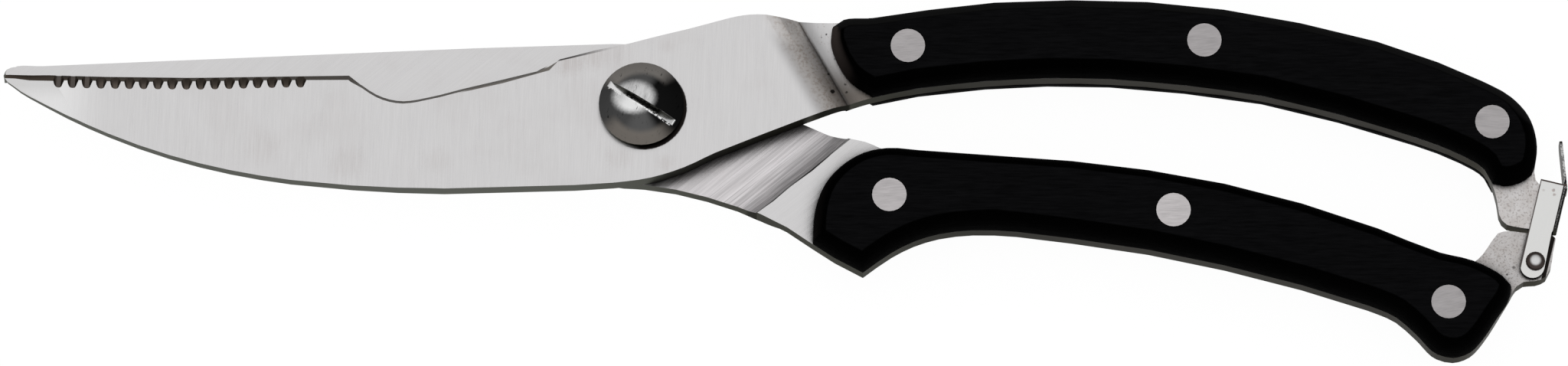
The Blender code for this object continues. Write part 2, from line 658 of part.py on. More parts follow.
def rivet_set(handle, places, blade, front_grip, back_grip, parent):
    """The two-piece rivets of one handle, and the holes that they sit in."""
    head, barrel = RIVET_HEAD_DIAMETER / 2, RIVET_BARREL_DIAMETER / 2
    bore, pin = RIVET_BORE_DIAMETER / 2, RIVET_PIN_DIAMETER / 2
    front_top, back_low = TOP - RIVET_FLUSH, RIVET_FLUSH
    front_seat, back_seat = front_top - RIVET_HEAD_THICKNESS, back_low + RIVET_HEAD_THICKNESS
    barrel_top = front_seat - SEAT_GAP
    pin_low = back_seat + SEAT_GAP
    for place_name, place in places.items():
        label = f"{handle}_{place_name}"
        shank = 2 * (barrel + RIVET_CLEARANCE)
        tang_low, tang_high = TANG_LOW - STOCK, TANG_HIGH + STOCK
        cut(blade, drill(label + "_tang_hole", place, tang_low, tang_high, shank, SHANK_SIDES))
        for side, plate, low, high in (
            ("front", front_grip, front_seat - RIVET_CLEARANCE, TOP + STOCK),
            ("back", back_grip, -STOCK, back_seat + RIVET_CLEARANCE),
        ):
            cut(plate, drill(f"{label}_{side}_shank_hole", place, -STOCK, TOP + STOCK, shank, SHANK_SIDES))
            cut(plate, drill(f"{label}_{side}_head_seat", place, low, high, 2 * (head + RIVET_CLEARANCE)))
        male = [
            (0.0, front_top), (head, front_top), (head, front_seat),
            (pin, front_seat), (pin, pin_low), (0.0, pin_low),
        ]
        female = [
            (0.0, back_seat), (bore, back_seat), (bore, barrel_top), (barrel, barrel_top),
            (barrel, back_seat), (head, back_seat), (head, back_low), (0.0, back_low),
        ]
        turned(f"rivet_{label}_front_half", male, RIVET_SIDES, PLAIN_STEEL, parent, place)
        turned(f"rivet_{label}_back_half", female, RIVET_SIDES, PLAIN_STEEL, parent, place)


def pivot_hardware():
    """The shoulder screw that carries the front blade, with its washer and nut behind."""
    head_low = FRONT_FACE + HARDWARE_GAP
    rim_top = head_low + HEAD_RIM
    radius = HEAD_DIAMETER / 2
    ball = (radius**2 + HEAD_DOME**2) / (2 * HEAD_DOME)
    sweep = math.asin(radius / ball)
    angles = [sweep * ring / DOME_RINGS for ring in range(DOME_RINGS + 1)]
    dome = [
        (ball * math.sin(angle), rim_top + HEAD_DOME - ball * (1 - math.cos(angle))) for angle in angles
    ]
    shoulder, thread = SHOULDER_DIAMETER / 2, THREAD_DIAMETER / 2
    washer_top = REAR_FACE - HARDWARE_GAP
    washer_low = washer_top - WASHER_THICKNESS
    nut_top = washer_low - HARDWARE_GAP
    nut_low = nut_top - NUT_HEIGHT
    profile = dome + [
        (radius, head_low), (shoulder, head_low), (shoulder, REAR_LAP + HARDWARE_GAP),
        (thread, REAR_LAP + HARDWARE_GAP), (thread, nut_low + THREAD_END), (0.0, nut_low + THREAD_END),
    ]
    screw = turned("pivot_screw", profile, HEAD_SIDES, DARK_STEEL, root)
    chord = SLOT_LENGTH / 2
    wheel = (chord**2 + SLOT_DEPTH**2) / (2 * SLOT_DEPTH)
    slot = turned(
        "slot_cutter",
        [(0.0, SLOT_WIDTH / 2), (wheel, SLOT_WIDTH / 2), (wheel, -SLOT_WIDTH / 2), (0.0, -SLOT_WIDTH / 2)],
        SLOT_WHEEL_SIDES, None, root,
    )
    slot.location = (0.0, 0.0, (rim_top - SLOT_DEPTH + wheel + SLOT_CENTRE_RISE) * MM)
    slot.rotation_euler = (math.pi / 2, 0.0, SLOT_ANGLE)
    cut(screw, slot)
    hole = thread + RUNNING_CLEARANCE
    rim = WASHER_DIAMETER / 2
    turned(
        "pivot_washer", [(hole, washer_top), (rim, washer_top), (rim, washer_low), (hole, washer_low)],
        THREAD_SIDES, PLAIN_STEEL, root,
    )
    corner_radius = NUT_ACROSS_FLATS / math.sqrt(3)
    hexagon = [
        (corner_radius * math.cos(math.tau * side / 6), corner_radius * math.sin(math.tau * side / 6))
        for side in range(6)
    ]
    nut = blank("pivot_nut", hexagon, nut_low, nut_top, PLAIN_STEEL, root)
    outer, above, below = corner_radius + STOCK, nut_top + STOCK, nut_low - NUT_CHAMFER / 4
    cone_profile = [
        (0.0, above), (outer, above), (outer, nut_low + NUT_CHAMFER + STOCK / 2),
        (NUT_ACROSS_FLATS / 2 - NUT_CHAMFER / 4, below), (0.0, below),
    ]
    cone = turned("nut_chamfer", cone_profile, NUT_CONE_SIDES, None, root)
    cut(nut, cone, "INTERSECT")
    cut(nut, drill("nut_bore", (0.0, 0.0), -STOCK, nut_top + STOCK, 2 * hole, THREAD_SIDES))


def opening_spring():
    """The wire spring round the pivot, with a leg out to each blade."""
    total = SPRING_PITCH * SPRING_TURNS
    low = MID - total / 2
    steps = round(SPRING_TURNS * SPRING_STEPS_PER_TURN)
    route = []
    for step in range(steps + 1):
        share = step / steps
        angle = SPRING_START + math.tau * SPRING_TURNS * share
        rise = low + total * share
        route.append((SPRING_RADIUS * math.cos(angle), SPRING_RADIUS * math.sin(angle), rise))
    end = SPRING_START + math.tau * SPRING_TURNS
    reach = SPRING_RADIUS + SPRING_LEG
    route.insert(0, (reach * math.cos(SPRING_START), reach * math.sin(SPRING_START), low))
    route.append((reach * math.cos(end), reach * math.sin(end), low + total))
    curve = bpy.data.curves.new("opening_spring", "CURVE")
    curve.dimensions = "3D"
    curve.bevel_depth = SPRING_WIRE / 2 * MM
    curve.bevel_resolution = 1
    curve.use_fill_caps = True
    spline = curve.splines.new("POLY")
    spline.points.add(len(route) - 1)
    for slot, point in zip(spline.points, route):
        slot.co = (*(value * MM for value in point), 1.0)
    obj = bpy.data.objects.new("opening_spring", curve)
    parts.objects.link(obj)
    curve.materials.append(material("opening_spring", PLAIN_STEEL))
    obj.parent = root


def latch():
    """The bent sheet stirrup that holds the handles shut, and the rivet that it swings on."""
    front_low = TANG_HIGH + SEAT_GAP
    front_high = front_low + LATCH_SHEET
    back_high = TANG_LOW - SEAT_GAP
    back_low = back_high - LATCH_SHEET
    left, web, waist = LATCH_LEFT, LATCH_WEB, LATCH_WAIST
    middle, foot = (left + waist) / 2, (waist - left) / 2
    arm = [corner((left, LATCH_TOP))]
    arm += [corner(point) for point in bend(middle, LATCH_FOOT + foot, foot, math.pi, math.tau, 12)]
    arm += [
        corner((waist - 2 * LATCH_OVERLAP, LATCH_WEB_LOW - LATCH_NECK)),
        corner((waist + LATCH_OVERLAP, LATCH_WEB_LOW + 2 * LATCH_OVERLAP)),
        corner((waist + LATCH_OVERLAP, LATCH_TOP)),
    ]
    points = sampled(arm, FINE_STEP)
    stirrup = blank("latch_stirrup", points, front_low, front_high, PLAIN_STEEL, latch_pivot)
    back_arm = blank("latch_back_arm", points, back_low, back_high, None, latch_pivot)
    inner_bend = LATCH_BEND - LATCH_SHEET
    turn, up, down = web - LATCH_BEND, front_high - LATCH_BEND, back_low + LATCH_BEND
    quarter = math.pi / 2
    channel = [(middle, front_high)] + bend(turn, up, LATCH_BEND, quarter, 0.0)
    channel += bend(turn, down, LATCH_BEND, 0.0, -quarter) + [(middle, back_low), (middle, back_high)]
    channel += bend(turn, down, inner_bend, -quarter, 0.0) + bend(turn, up, inner_bend, 0.0, quarter)
    channel += [(middle, front_low)]
    spine = blank("latch_spine", channel, -LATCH_TOP, -LATCH_WEB_LOW, None, latch_pivot)
    spine.rotation_euler = (math.pi / 2, 0.0, 0.0)
    side = web - LATCH_OVERLAP
    bridge_points = [(left, back_low), (side, back_low), (side, front_high), (left, front_high)]
    bridge = blank("latch_bridge", bridge_points, -LATCH_TOP, LATCH_SHEET - LATCH_TOP, None, latch_pivot)
    bridge.rotation_euler = (math.pi / 2, 0.0, 0.0)
    tab_low, tab_high = back_low + LATCH_OVERLAP, front_high - LATCH_OVERLAP
    tip, root_end = TAB_LENGTH - TAB_CORNER, -LATCH_SHEET
    tab_shape = [(root_end, tab_low)] + bend(tip, tab_low + TAB_CORNER, TAB_CORNER, -math.pi / 2, 0.0)
    tab_shape += bend(tip, tab_high - TAB_CORNER, TAB_CORNER, 0.0, math.pi / 2) + [(root_end, tab_high)]
    half = TAB_THICKNESS / 2
    tab = blank("latch_thumb_tab", tab_shape, -half, half, None, latch_pivot)
    rise = math.pi / 2 + LATCH_LEAN + TAB_LEAN
    tab.matrix_local = (
        Matrix.Translation(((web - LATCH_SHEET / 2) * MM, (LATCH_TOP - LATCH_OVERLAP) * MM, 0.0))
        @ Matrix.Rotation(rise, 4, "Z") @ Matrix.Rotation(math.pi / 2, 4, "X")
    )
    for piece in (back_arm, spine, bridge, tab):
        cut(stirrup, piece, "UNION")
    bore = LATCH_RIVET_DIAMETER + 2 * RUNNING_CLEARANCE
    hole = drill("latch_bore", (0.0, 0.0), 0.0, TOP, bore)
    hole.parent = latch_pivot
    cut(stirrup, hole)
    head, shank = LATCH_RIVET_HEAD / 2, LATCH_RIVET_DIAMETER / 2
    top, low = front_high + HARDWARE_GAP, back_low - HARDWARE_GAP
    dome = [(head * across, LATCH_RIVET_DOME * up) for across, up in LATCH_RIVET_PROFILE]
    profile = [(0.0, top + LATCH_RIVET_DOME)] + [(radius, top + up) for radius, up in dome]
    profile += [(shank, top), (shank, low)] + [(radius, low - up) for radius, up in dome[::-1]]
    profile += [(0.0, low - LATCH_RIVET_DOME)]
    turned("latch_rivet", profile, SHANK_SIDES, PLAIN_STEEL, root, (LATCH_X, LATCH_Y))


def bend(x, y, radius, start, end, steps=4):
    """Points of an arc about a centre."""
    angles = [start + (end - start) * step / steps for step in range(steps + 1)]
    return [(x + radius * math.cos(angle), y + radius * math.sin(angle)) for angle in angles]


def empty(name, parent, place=(0.0, 0.0), turn=0.0):
    """A frame that pieces are placed in."""
    obj = bpy.data.objects.new(name, None)
    bpy.context.scene.collection.objects.link(obj)
    obj.parent = parent
    obj.location = (place[0] * MM, place[1] * MM, 0.0)
    obj.rotation_euler = (0.0, 0.0, turn)
    return obj


def centre_on_origin():
    """Moves the shears so that the middle of their box is over the origin, on Z = 0."""
    graph = bpy.context.evaluated_depsgraph_get()
    lows, highs = [math.inf] * 2, [-math.inf] * 2
    for obj in parts.objects:
        shown = obj.evaluated_get(graph)
        mesh = shown.to_mesh()
        for vert in mesh.vertices:
            point = shown.matrix_world @ vert.co
            for axis in (0, 1):
                lows[axis] = min(lows[axis], point[axis])
                highs[axis] = max(highs[axis], point[axis])
        shown.to_mesh_clear()
    root.location = (-(lows[0] + highs[0]) / 2, -(lows[1] + highs[1]) / 2, 0.0)
    bpy.context.view_layer.update()


for old in list(bpy.data.objects):
    bpy.data.objects.remove(old)
parts = bpy.data.collections.new("game_shears")
cutters = bpy.data.collections.new("cutters")
for group in (parts, cutters):
    bpy.context.scene.collection.children.link(group)
root = empty("shears_frame", None)
pivot = empty("blade_pivot", root)
latch_pivot = empty("latch_pivot", root, (LATCH_X, LATCH_Y), -LATCH_LEAN)

front = front_blade()
rear = rear_blade()
upper_outline = sampled(
    UPPER_EDGE + UPPER_HEEL[:-1] + [corner(UPPER_HEEL[-1])] + UPPER_INNER[:-1] + [corner(UPPER_INNER[-1])]
    + UPPER_NOSE
)
lower_outline = sampled(
    LOWER_INNER + LOWER_HEEL + LOWER_OUTER + [corner(LOWER_HOOK)] + LOWER_HOOK_LEFT[:-1]
    + [corner(LOWER_HOOK_LEFT[-1])] + LOWER_NOSE
)
upper_front = grip("upper_grip_front", upper_outline, TANG_HIGH + SEAT_GAP, TOP, pivot)
upper_back = grip("upper_grip_back", upper_outline, TANG_LOW - SEAT_GAP, 0.0, pivot)
lower_front = grip("lower_grip_front", lower_outline, TANG_HIGH + SEAT_GAP, TOP, root)
lower_back = grip("lower_grip_back", inset(lower_outline, LOWER_BACK_INSET), TANG_LOW - SEAT_GAP, 0.0, root)
rivet_set("upper", UPPER_RIVETS, front, upper_front, upper_back, pivot)
rivet_set("lower", LOWER_RIVETS, rear, lower_front, lower_back, root)
pivot_hardware()
opening_spring()
latch()
bpy.context.view_layer.update()
centre_on_origin()
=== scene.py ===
"""Looks of the game shears: satin steel blades, black moulded handles, a domed screw and a latch.

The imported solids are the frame. The blades, the grip scales, the pivot screw, the latch, its rivet and
the spring are finished as merged copies with smooth curved faces, and the other pieces keep their solids.
Each finish is a node material, which works in millimetres about the pivot axis, with X towards the handles
and Z up out of the screw head.
"""

import json
import math

import bpy
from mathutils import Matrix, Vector
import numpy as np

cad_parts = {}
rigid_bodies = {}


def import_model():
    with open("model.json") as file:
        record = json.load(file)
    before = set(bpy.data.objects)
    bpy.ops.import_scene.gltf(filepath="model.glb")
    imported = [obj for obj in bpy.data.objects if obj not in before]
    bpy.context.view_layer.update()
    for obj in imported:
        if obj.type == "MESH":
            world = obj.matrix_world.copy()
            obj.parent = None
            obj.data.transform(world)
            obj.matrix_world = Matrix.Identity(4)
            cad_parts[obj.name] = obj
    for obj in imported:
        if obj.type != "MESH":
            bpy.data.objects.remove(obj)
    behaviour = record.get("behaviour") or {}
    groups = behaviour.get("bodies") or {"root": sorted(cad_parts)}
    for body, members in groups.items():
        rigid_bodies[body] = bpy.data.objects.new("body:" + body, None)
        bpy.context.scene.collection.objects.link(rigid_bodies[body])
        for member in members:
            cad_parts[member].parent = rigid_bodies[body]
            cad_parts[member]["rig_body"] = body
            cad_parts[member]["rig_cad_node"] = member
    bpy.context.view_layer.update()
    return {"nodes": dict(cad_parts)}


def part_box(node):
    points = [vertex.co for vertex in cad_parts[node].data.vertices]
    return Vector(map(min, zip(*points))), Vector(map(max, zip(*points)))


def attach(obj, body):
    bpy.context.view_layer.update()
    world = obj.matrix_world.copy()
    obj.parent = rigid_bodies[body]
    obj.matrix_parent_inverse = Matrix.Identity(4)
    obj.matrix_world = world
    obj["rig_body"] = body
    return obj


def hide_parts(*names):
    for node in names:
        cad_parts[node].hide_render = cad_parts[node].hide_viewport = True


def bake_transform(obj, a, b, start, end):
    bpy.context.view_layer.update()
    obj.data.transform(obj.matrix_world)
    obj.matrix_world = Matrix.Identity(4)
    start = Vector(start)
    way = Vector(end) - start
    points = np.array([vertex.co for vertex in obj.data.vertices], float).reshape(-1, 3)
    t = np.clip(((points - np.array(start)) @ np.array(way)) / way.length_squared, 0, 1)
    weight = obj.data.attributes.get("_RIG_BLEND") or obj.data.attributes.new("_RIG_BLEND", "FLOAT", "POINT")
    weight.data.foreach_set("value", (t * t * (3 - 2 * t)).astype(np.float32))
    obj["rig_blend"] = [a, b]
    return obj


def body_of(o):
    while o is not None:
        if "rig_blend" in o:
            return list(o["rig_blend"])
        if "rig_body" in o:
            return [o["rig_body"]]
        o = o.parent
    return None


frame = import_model()
nodes = frame["nodes"]

MM = 0.001
screw_low, screw_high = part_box("pivot_screw")
PIVOT = Vector(((screw_low.x + screw_high.x) / 2, (screw_low.y + screw_high.y) / 2, 0.0))

# The photograph's scale and the camera that it was seen with
PHOTO_WIDTH = 2048
PIXELS_PER_MM = 8.1766
CAMERA_TILT = math.radians(14.5)
CAMERA_LENS = 360.0
CAMERA_SENSOR = 36.0
CAMERA_REACH = (0.1, 20.0)
AIM = Vector((-0.000035, -0.000049, 0.0069))
SHARP_HEIGHT = 0.0102

# The table and the white tent, whose light is given by height, from below to overhead
TABLE_SIZE = 6.0
TABLE_DROP = 0.0002
TABLE_GLOW = 1.035
TABLE_GLOW_SHARE = 0.93
TENT_LIGHT = [(0.0, 0.42), (0.5, 0.5), (0.8, 0.85), (0.93, 1.0), (1.0, 1.0)]

# How the copies of the solids are merged, and the angles, in degrees, up to which they shade smoothly
MERGE_DISTANCE = 0.000001
FLAT_ANGLE = math.radians(0.4)
PLATE_ANGLE = 25.0
DOME_ANGLE = 30.0
ROUNDED_ANGLE = 35.0
WIRE_ANGLE = 60.0
NORMAL_WEIGHT = 80

# Lines on the shears. Each is the way that it faces, in degrees, and its distance from the pivot axis.
RAMP_FOOT = (29.3, 29.05)
STEP_EDGE = (-50.6, 24.81)
LIP_EDGE = (103.3, 10.32)
BETWEEN_GRIPS = (82.6, 14.57)
NOTCH_LOW = [(106.0, 9.70), (103.07, 8.653), (137.2, 14.814)]
NOTCH_HIGH = [(113.0, 11.74), (122.45, 13.405)]
LATCH_LEAN = 13.65
LATCH_RIM = (90.0 - LATCH_LEAN, 22.320392)
LATCH_LEFT = (180.0 - LATCH_LEAN, -142.610052)
LATCH_BEND = (-LATCH_LEAN, 146.3)
LATCH_RIGHT = (-LATCH_LEAN, 146.5)
WEB_FOOT = (90.0, -20.6)
SLOT_TURN = -31.9
SLOT_SIDE = (90.0 + SLOT_TURN, 0.0)
SLOT_END = (SLOT_TURN, 0.0)

# Stretches along X and along Y, each from none of a look to all of it
TIP_X = (-85.0, -94.0)
BONE_NOTCH_X = (-30.0, -27.0)
NOTCH_MOUTH_X = (-16.0, -16.8)
LIP_X = (-3.0, -12.0)
LIP_END_X = (-13.6, -13.2)
PAST_BEVEL_X = (-14.0, -12.0)
HEAD_SHADOW_X = (-4.0, 0.0)
BELOW_SCREW_X = (0.0, 2.0)
PLATE_X = (3.0, 5.0)
LEANS_X = (6.0, 14.0)
RAMP_X = (12.0, 14.0)
STEP_X = (17.5, 27.0)
GRIP_NOSE_X = (40.0, 36.0)
TANG_X = (44.0, 40.0)
STUB_X = (131.0, 132.0)
DULL_Y = (13.5, 9.0)
TANG_Y = (9.5, 2.0)
SOOT_Y = (7.5, 2.5)
NOSE_TONE_Y = (3.0, 11.0)
NOSE_LIT_Y = (-2.0, 2.0)
BELOW_SCREW_Y = (-4.0, -7.0)
LATCH_SHADE_Y = (-19.0, -19.6)

# The ways that the pieces were brushed, the broad streaks among the fine ones, and the depth of both
FRONT_BELT = math.radians(2.0)
REAR_BELT = math.radians(50.6)
GRIP_BELT = math.radians(90.0)
LATCH_BELT = math.radians(LATCH_LEAN)
SCREW_BELT = 0.4
SCRATCH_TURN = 0.25
BUTTON_BELT = 0.6
HARDWARE_BELT = 0.9
BROAD_FINENESS, BROAD_LENGTH = 0.28, 2.2
BRUSH_DEPTH = 0.00002

# How far an overhang shades what lies beneath
OVERHANG_REACH = 0.005
OVERHANG_SAMPLES = 8

# Ragged spots, each as x, y, radius, softness and raggedness, and marks, which end with a strength
# The screw head's painted shadow on the blade, and the painted highlight and glint on its dome
HEAD_SHADOW = (0.34, -0.30, 6.84, 0.2, 0.12)
HEAD_HIGHLIGHT = (-0.92, 0.82, 1.85, 1.4, 0.3)
HEAD_GLINT = (-1.9, -0.6, 0.5, 1.6, 0.3)
RAMP_PITS = [
    (30.57, 2.68, 0.28, 0.2, 0.3, 0.95), (29.9, 5.8, 0.12, 0.12, 0.2, 0.8),
    (29.6, 12.4, 0.1, 0.1, 0.2, 0.8), (28.8, 11.9, 0.08, 0.1, 0.2, 0.6),
    (30.9, 8.3, 0.1, 0.12, 0.2, 0.5), (32.6, 4.1, 0.12, 0.12, 0.2, 0.7),
    (32.8, 2.8, 0.14, 0.12, 0.2, 0.8),
]
FRONT_STAINS = [
    (-11.5, 7.0, 0.4, 2.6, 1.6, 0.34), (-8.0, 7.9, 0.4, 2.4, 1.6, 0.2),
    (-5.0, 9.0, 1.0, 4.0, 2.0, 0.14), (4.0, 9.9, 0.2, 1.6, 1.2, 0.16),
    (-3.4, -8.4, 0.4, 2.6, 2.0, 0.16), (3.8, -9.4, 0.2, 1.8, 1.4, 0.16),
    (-9.5, 2.3, 1.2, 3.6, 2.4, 0.07), (-61.0, -6.5, 0.8, 3.6, 2.6, 0.14),
    (-47.0, -9.2, 0.8, 3.4, 2.4, 0.13), (-32.5, -9.0, 0.5, 2.6, 2.0, 0.12),
    (-30.0, 0.0, 1.2, 3.6, 2.4, 0.05),
]
REAR_MARKS = [
    (138.2, -27.25, 0.1, 0.12, 0.2, 0.8), (139.3, -26.1, 0.14, 0.25, 0.3, 0.6),
    (137.9, -24.3, 0.06, 0.12, 0.2, 0.5), (137.85, -24.9, 0.05, 0.12, 0.2, 0.4),
    (140.3, -20.2, 0.5, 1.4, 1.0, 0.12),
]
LATCH_SMUDGES = [
    (145.7, -13.6, 0.1, 0.25, 0.4, 0.75), (145.85, -14.3, 0.1, 0.25, 0.4, 0.6),
    (144.1, -13.6, 0.08, 0.25, 0.3, 0.4), (143.3, -13.9, 0.08, 0.25, 0.3, 0.25),
]

# The screw head in millimetres, with the oval of its painted highlight, and the spring's wire in metres
HEAD_LOW = 10.75
HEAD_RADIUS = 6.5
HIGHLIGHT_OVAL = (0.8, 1.0, 0.0)
SPRING_WIRE = 0.0012

# A place times this leaves out its height
FLAT = (1.0, 1.0, 0.0)


def grey(level):
    return (level, level, level, 1.0)


WHITE = grey(1.0)
PAPER = grey(0.9)
BLADE_TONE = (0.640, 0.632, 0.635, 1.0)
# Painted light: a lighter tone for the tip, offsetting the darker reflection of its thinning face
TIP_LIGHTENING = grey(0.96)
# Tones of the blades' sides and bevels, partly their ground finish and partly painted shade
EDGE_TONE = (0.150, 0.155, 0.145, 1.0)
DARK_EDGE_TONE = (0.040, 0.040, 0.036, 1.0)
TANG_EDGE_TONE = (0.053, 0.050, 0.052, 1.0)
NOSE_EDGE_TONE = (0.034, 0.033, 0.035, 1.0)
STUB_EDGE_TONE = (0.036, 0.032, 0.030, 1.0)
BEVEL_TONE = (0.122, 0.102, 0.090, 1.0)
TIP_BEVEL_TONE = (0.078, 0.064, 0.057, 1.0)
BACK_TONE = (0.34, 0.335, 0.33, 1.0)
NOTCH_TONE = (0.153, 0.141, 0.129, 1.0)
BROWN = (0.42, 0.37, 0.355, 1.0)
# Dark tone of pits and specks, also used as painted shadow: the screw head's on the blade, the latch arm's on
# the rear stub, and in the latch's bend
PIT_AND_SHADOW = (0.012, 0.010, 0.009, 1.0)
GRAZING_TINT = (0.42, 0.42, 0.40, 1.0)
# Painted shade on the grips' rolled edges, and painted light on their upper faces and noses
GRIP_EDGE_SHADE = grey(0.0002)
GRIP_TOP_LIT = grey(0.004)
UPPER_GRIP_TOP_LIT = grey(0.007)
GRIP_NOSE_LIT_LOW = (0.016, 0.013, 0.012, 1.0)
GRIP_NOSE_LIT_HIGH = (0.042, 0.034, 0.031, 1.0)
# Painted shade on the handle rivets' upright sides
RIVET_RIM_SHADE = grey(0.12)
# Painted reflections on the screw dome: a dark ring, a browner rim, a bright highlight and a glint
RING_LEFT = grey(0.055)
RING_RIGHT = grey(0.006)
RING_ENDS = grey(0.085)
RIM_HIGH = (0.235, 0.220, 0.205, 1.0)
RIM_LOW = (0.150, 0.136, 0.122, 1.0)
HIGHLIGHT_TONE = grey(0.66)
GLINT = grey(0.75)
# Painted light and shade in the screw's slot
SLOT_LIP_HIGHLIGHT = grey(0.8)
SLOT_FLOOR_SHADE = grey(0.03)
SLOT_FLOOR_LIT = grey(0.7)
SLOT_ENDS_LIT = grey(0.85)
SLOT_WALL_SHADE = grey(0.01)
SLOT_WALL_LIT = grey(0.5)
# Painted shade on the upright side of the screw head
HEAD_SIDE_SHADE = grey(0.012)
LATCH_TONE = (0.70, 0.70, 0.69, 1.0)
# The latch's darker edges, partly cut finish and partly painted shade
LATCH_EDGE = grey(0.03)
LATCH_TOP_EDGE = (0.06, 0.045, 0.04, 1.0)
LATCH_LEFT_EDGE = (0.09, 0.075, 0.07, 1.0)
BUTTON_TONE = grey(0.62)
# Painted shade on the latch rivet's sloping edge
BUTTON_RING_SHADE = (0.062, 0.050, 0.046, 1.0)
HARDWARE_TONE = (0.42, 0.42, 0.41, 1.0)

# How much of the blades' brown stains shows
STAIN_SHARE = 0.08

# Shades, which darken the colour beneath
HAZE = (0.93, 0.9, 0.87, 1.0)
DUST = (0.8, 0.76, 0.73, 1.0)
TANG_SHADE = (0.32, 0.29, 0.26, 1.0)
LOW_RAMP_DARKER = (0.75, 0.72, 0.69, 1.0)
TANG_SPECKS = (0.7, 0.66, 0.62, 1.0)
PLATE_TINT = (1.0, 0.975, 0.985, 1.0)
STUB_BLOTCHES = (0.86, 0.84, 0.82, 1.0)
STUB_SPECKS = (0.60, 0.57, 0.56, 1.0)
HIGHLIGHT_BESIDE_SLOT = grey(0.84)
SCRATCH = grey(0.35)
BENT_SOLID, BENT_PORES = grey(0.85), grey(0.12)
RIM_SOLID, RIM_PORES = grey(0.75), grey(0.2)

# Shades by the distance beyond the foot of the ramp and beyond the edge of the step, and by the open sky
RAMP_SHADE = [
    (-4.0, 1.0), (-3.2, 0.97), (-2.4, 0.95), (-1.5, 0.86), (-0.7, 0.78), (-0.25, 0.55), (0.0, 0.22),
    (0.2, 0.38), (0.5, 0.5), (1.1, 0.6), (2.0, 0.8), (3.0, 0.92), (4.5, 1.0),
]
STEP_SHADE = [
    (-7.0, 1.0), (-4.8, 0.98), (-4.2, 0.92), (-3.6, 0.82), (-3.0, 0.75), (-2.2, 0.71), (-1.6, 0.68),
    (-1.2, 0.75), (-0.6, 0.95), (-0.1, 1.0), (0.0, 0.3), (0.18, 0.25), (0.26, 1.0),
]
OVERHANG_SHADE = [
    (0.40, 0.05), (0.533, 0.07), (0.565, 0.16), (0.598, 0.22), (0.627, 0.36), (0.657, 0.53), (0.684, 0.63),
    (0.711, 0.78), (0.733, 0.87), (0.80, 1.0),
]

# Tones of the blades' sides and of the front bevel along X, partly their ground finish and partly painted shade,
# and how soon a lean shows them
SIDE_TONES = [
    (-12.0, EDGE_TONE), (20.0, DARK_EDGE_TONE), (34.0, DARK_EDGE_TONE), (46.0, NOSE_EDGE_TONE),
    (76.0, TANG_EDGE_TONE), (128.0, TANG_EDGE_TONE), (134.0, STUB_EDGE_TONE),
]
BEVEL_TONES = [(-90.0, TIP_BEVEL_TONE), (-85.0, BEVEL_TONE)]
LEAN_SHARE = [(0.0, 0.0), (0.01, 0.0), (0.05, 0.5), (0.12, 0.8), (0.3, 1.0)]

# The tone of each handle rivet and the way that it was brushed, in degrees
RIVET_LOOKS = {
    "upper_front": (0.40, 87.0), "upper_middle": (0.385, 84.0), "upper_rear": (0.39, 92.0),
    "lower_front": (0.48, 88.0), "lower_middle": (0.54, 90.0), "lower_rear": (0.375, 80.0),
}


class Wiring:
    """Adds nodes to one node tree and links them."""

    def __init__(self, tree):
        self.tree = tree

    def node(self, kind, settings=None, **inputs):
        made = self.tree.nodes.new("ShaderNode" + kind)
        for name, value in (settings or {}).items():
            setattr(made, name, value)
        for name, value in inputs.items():
            self.put(made.inputs[name.replace("_", " ")], value)
        return made

    def put(self, socket, value):
        if isinstance(value, bpy.types.NodeSocket):
            self.tree.links.new(value, socket)
        else:
            socket.default_value = value

    def fill(self, sockets, *values):
        for socket, value in zip(sockets, values):
            self.put(socket, value)

    def axes(self, vector):
        return self.node("SeparateXYZ", Vector=vector).outputs

    def math(self, operation, *values):
        made = self.node("Math", {"operation": operation})
        self.fill(made.inputs, *values)
        return made.outputs[0]

    def vector(self, operation, *values):
        made = self.node("VectorMath", {"operation": operation})
        self.fill(made.inputs, *values)
        return made.outputs["Value" if operation == "LENGTH" else "Vector"]

    def blend(self, factor, first, second, mode="MIX"):
        made = self.node("Mix", {"data_type": "RGBA", "blend_type": mode, "clamp_factor": True})
        self.fill((made.inputs[0], made.inputs[6], made.inputs[7]), factor, first, second)
        return made.outputs[2]

    def span(self, value, low, high, start=0.0, end=1.0, smooth=True):
        """Start below low, end above high, and an even or soft change between them."""
        kind = "SMOOTHSTEP" if smooth else "LINEAR"
        made = self.node("MapRange", {"interpolation_type": kind, "clamp": True}, Value=value,
                         From_Min=low, From_Max=high, To_Min=start, To_Max=end)
        return made.outputs[0]

    def stops(self, value, points):
        """A curve through (value, level) points, as a ramp. A level is a grey or a colour."""
        low, high = points[0][0], points[-1][0]
        made = self.node("ValToRGB", Fac=self.span(value, low, high, smooth=False))
        ramp = made.color_ramp
        while len(ramp.elements) < len(points):
            ramp.elements.new(0.5)
        for element, (position, level) in zip(ramp.elements, points):
            element.position = (position - low) / (high - low)
            element.color = grey(level) if isinstance(level, float) else level
        return made.outputs[0]

    def times(self, first, *others):
        for other in others:
            first = self.math("MULTIPLY", first, other)
        return first

    def shade(self, colour, level, amount=1.0):
        """The colour times a level or a colour, as far as the amount says."""
        return self.blend(amount, colour, level, "MULTIPLY")


def new_group(name, inputs, outputs):
    """An empty shader group: its wiring, the sockets that it reads and the sockets that it fills."""
    tree = bpy.data.node_groups.new(name, "ShaderNodeTree")
    for way, sockets in (("INPUT", inputs), ("OUTPUT", outputs)):
        for label, kind in sockets.items():
            tree.interface.new_socket(label, in_out=way, socket_type="NodeSocket" + kind)
    return Wiring(tree), tree.nodes.new("NodeGroupInput").outputs, tree.nodes.new("NodeGroupOutput").inputs


def use(w, group, **inputs):
    made = w.tree.nodes.new("ShaderNodeGroup")
    made.node_tree = bpy.data.node_groups[group]
    for name, value in inputs.items():
        w.put(made.inputs[name], value)
    return made.outputs


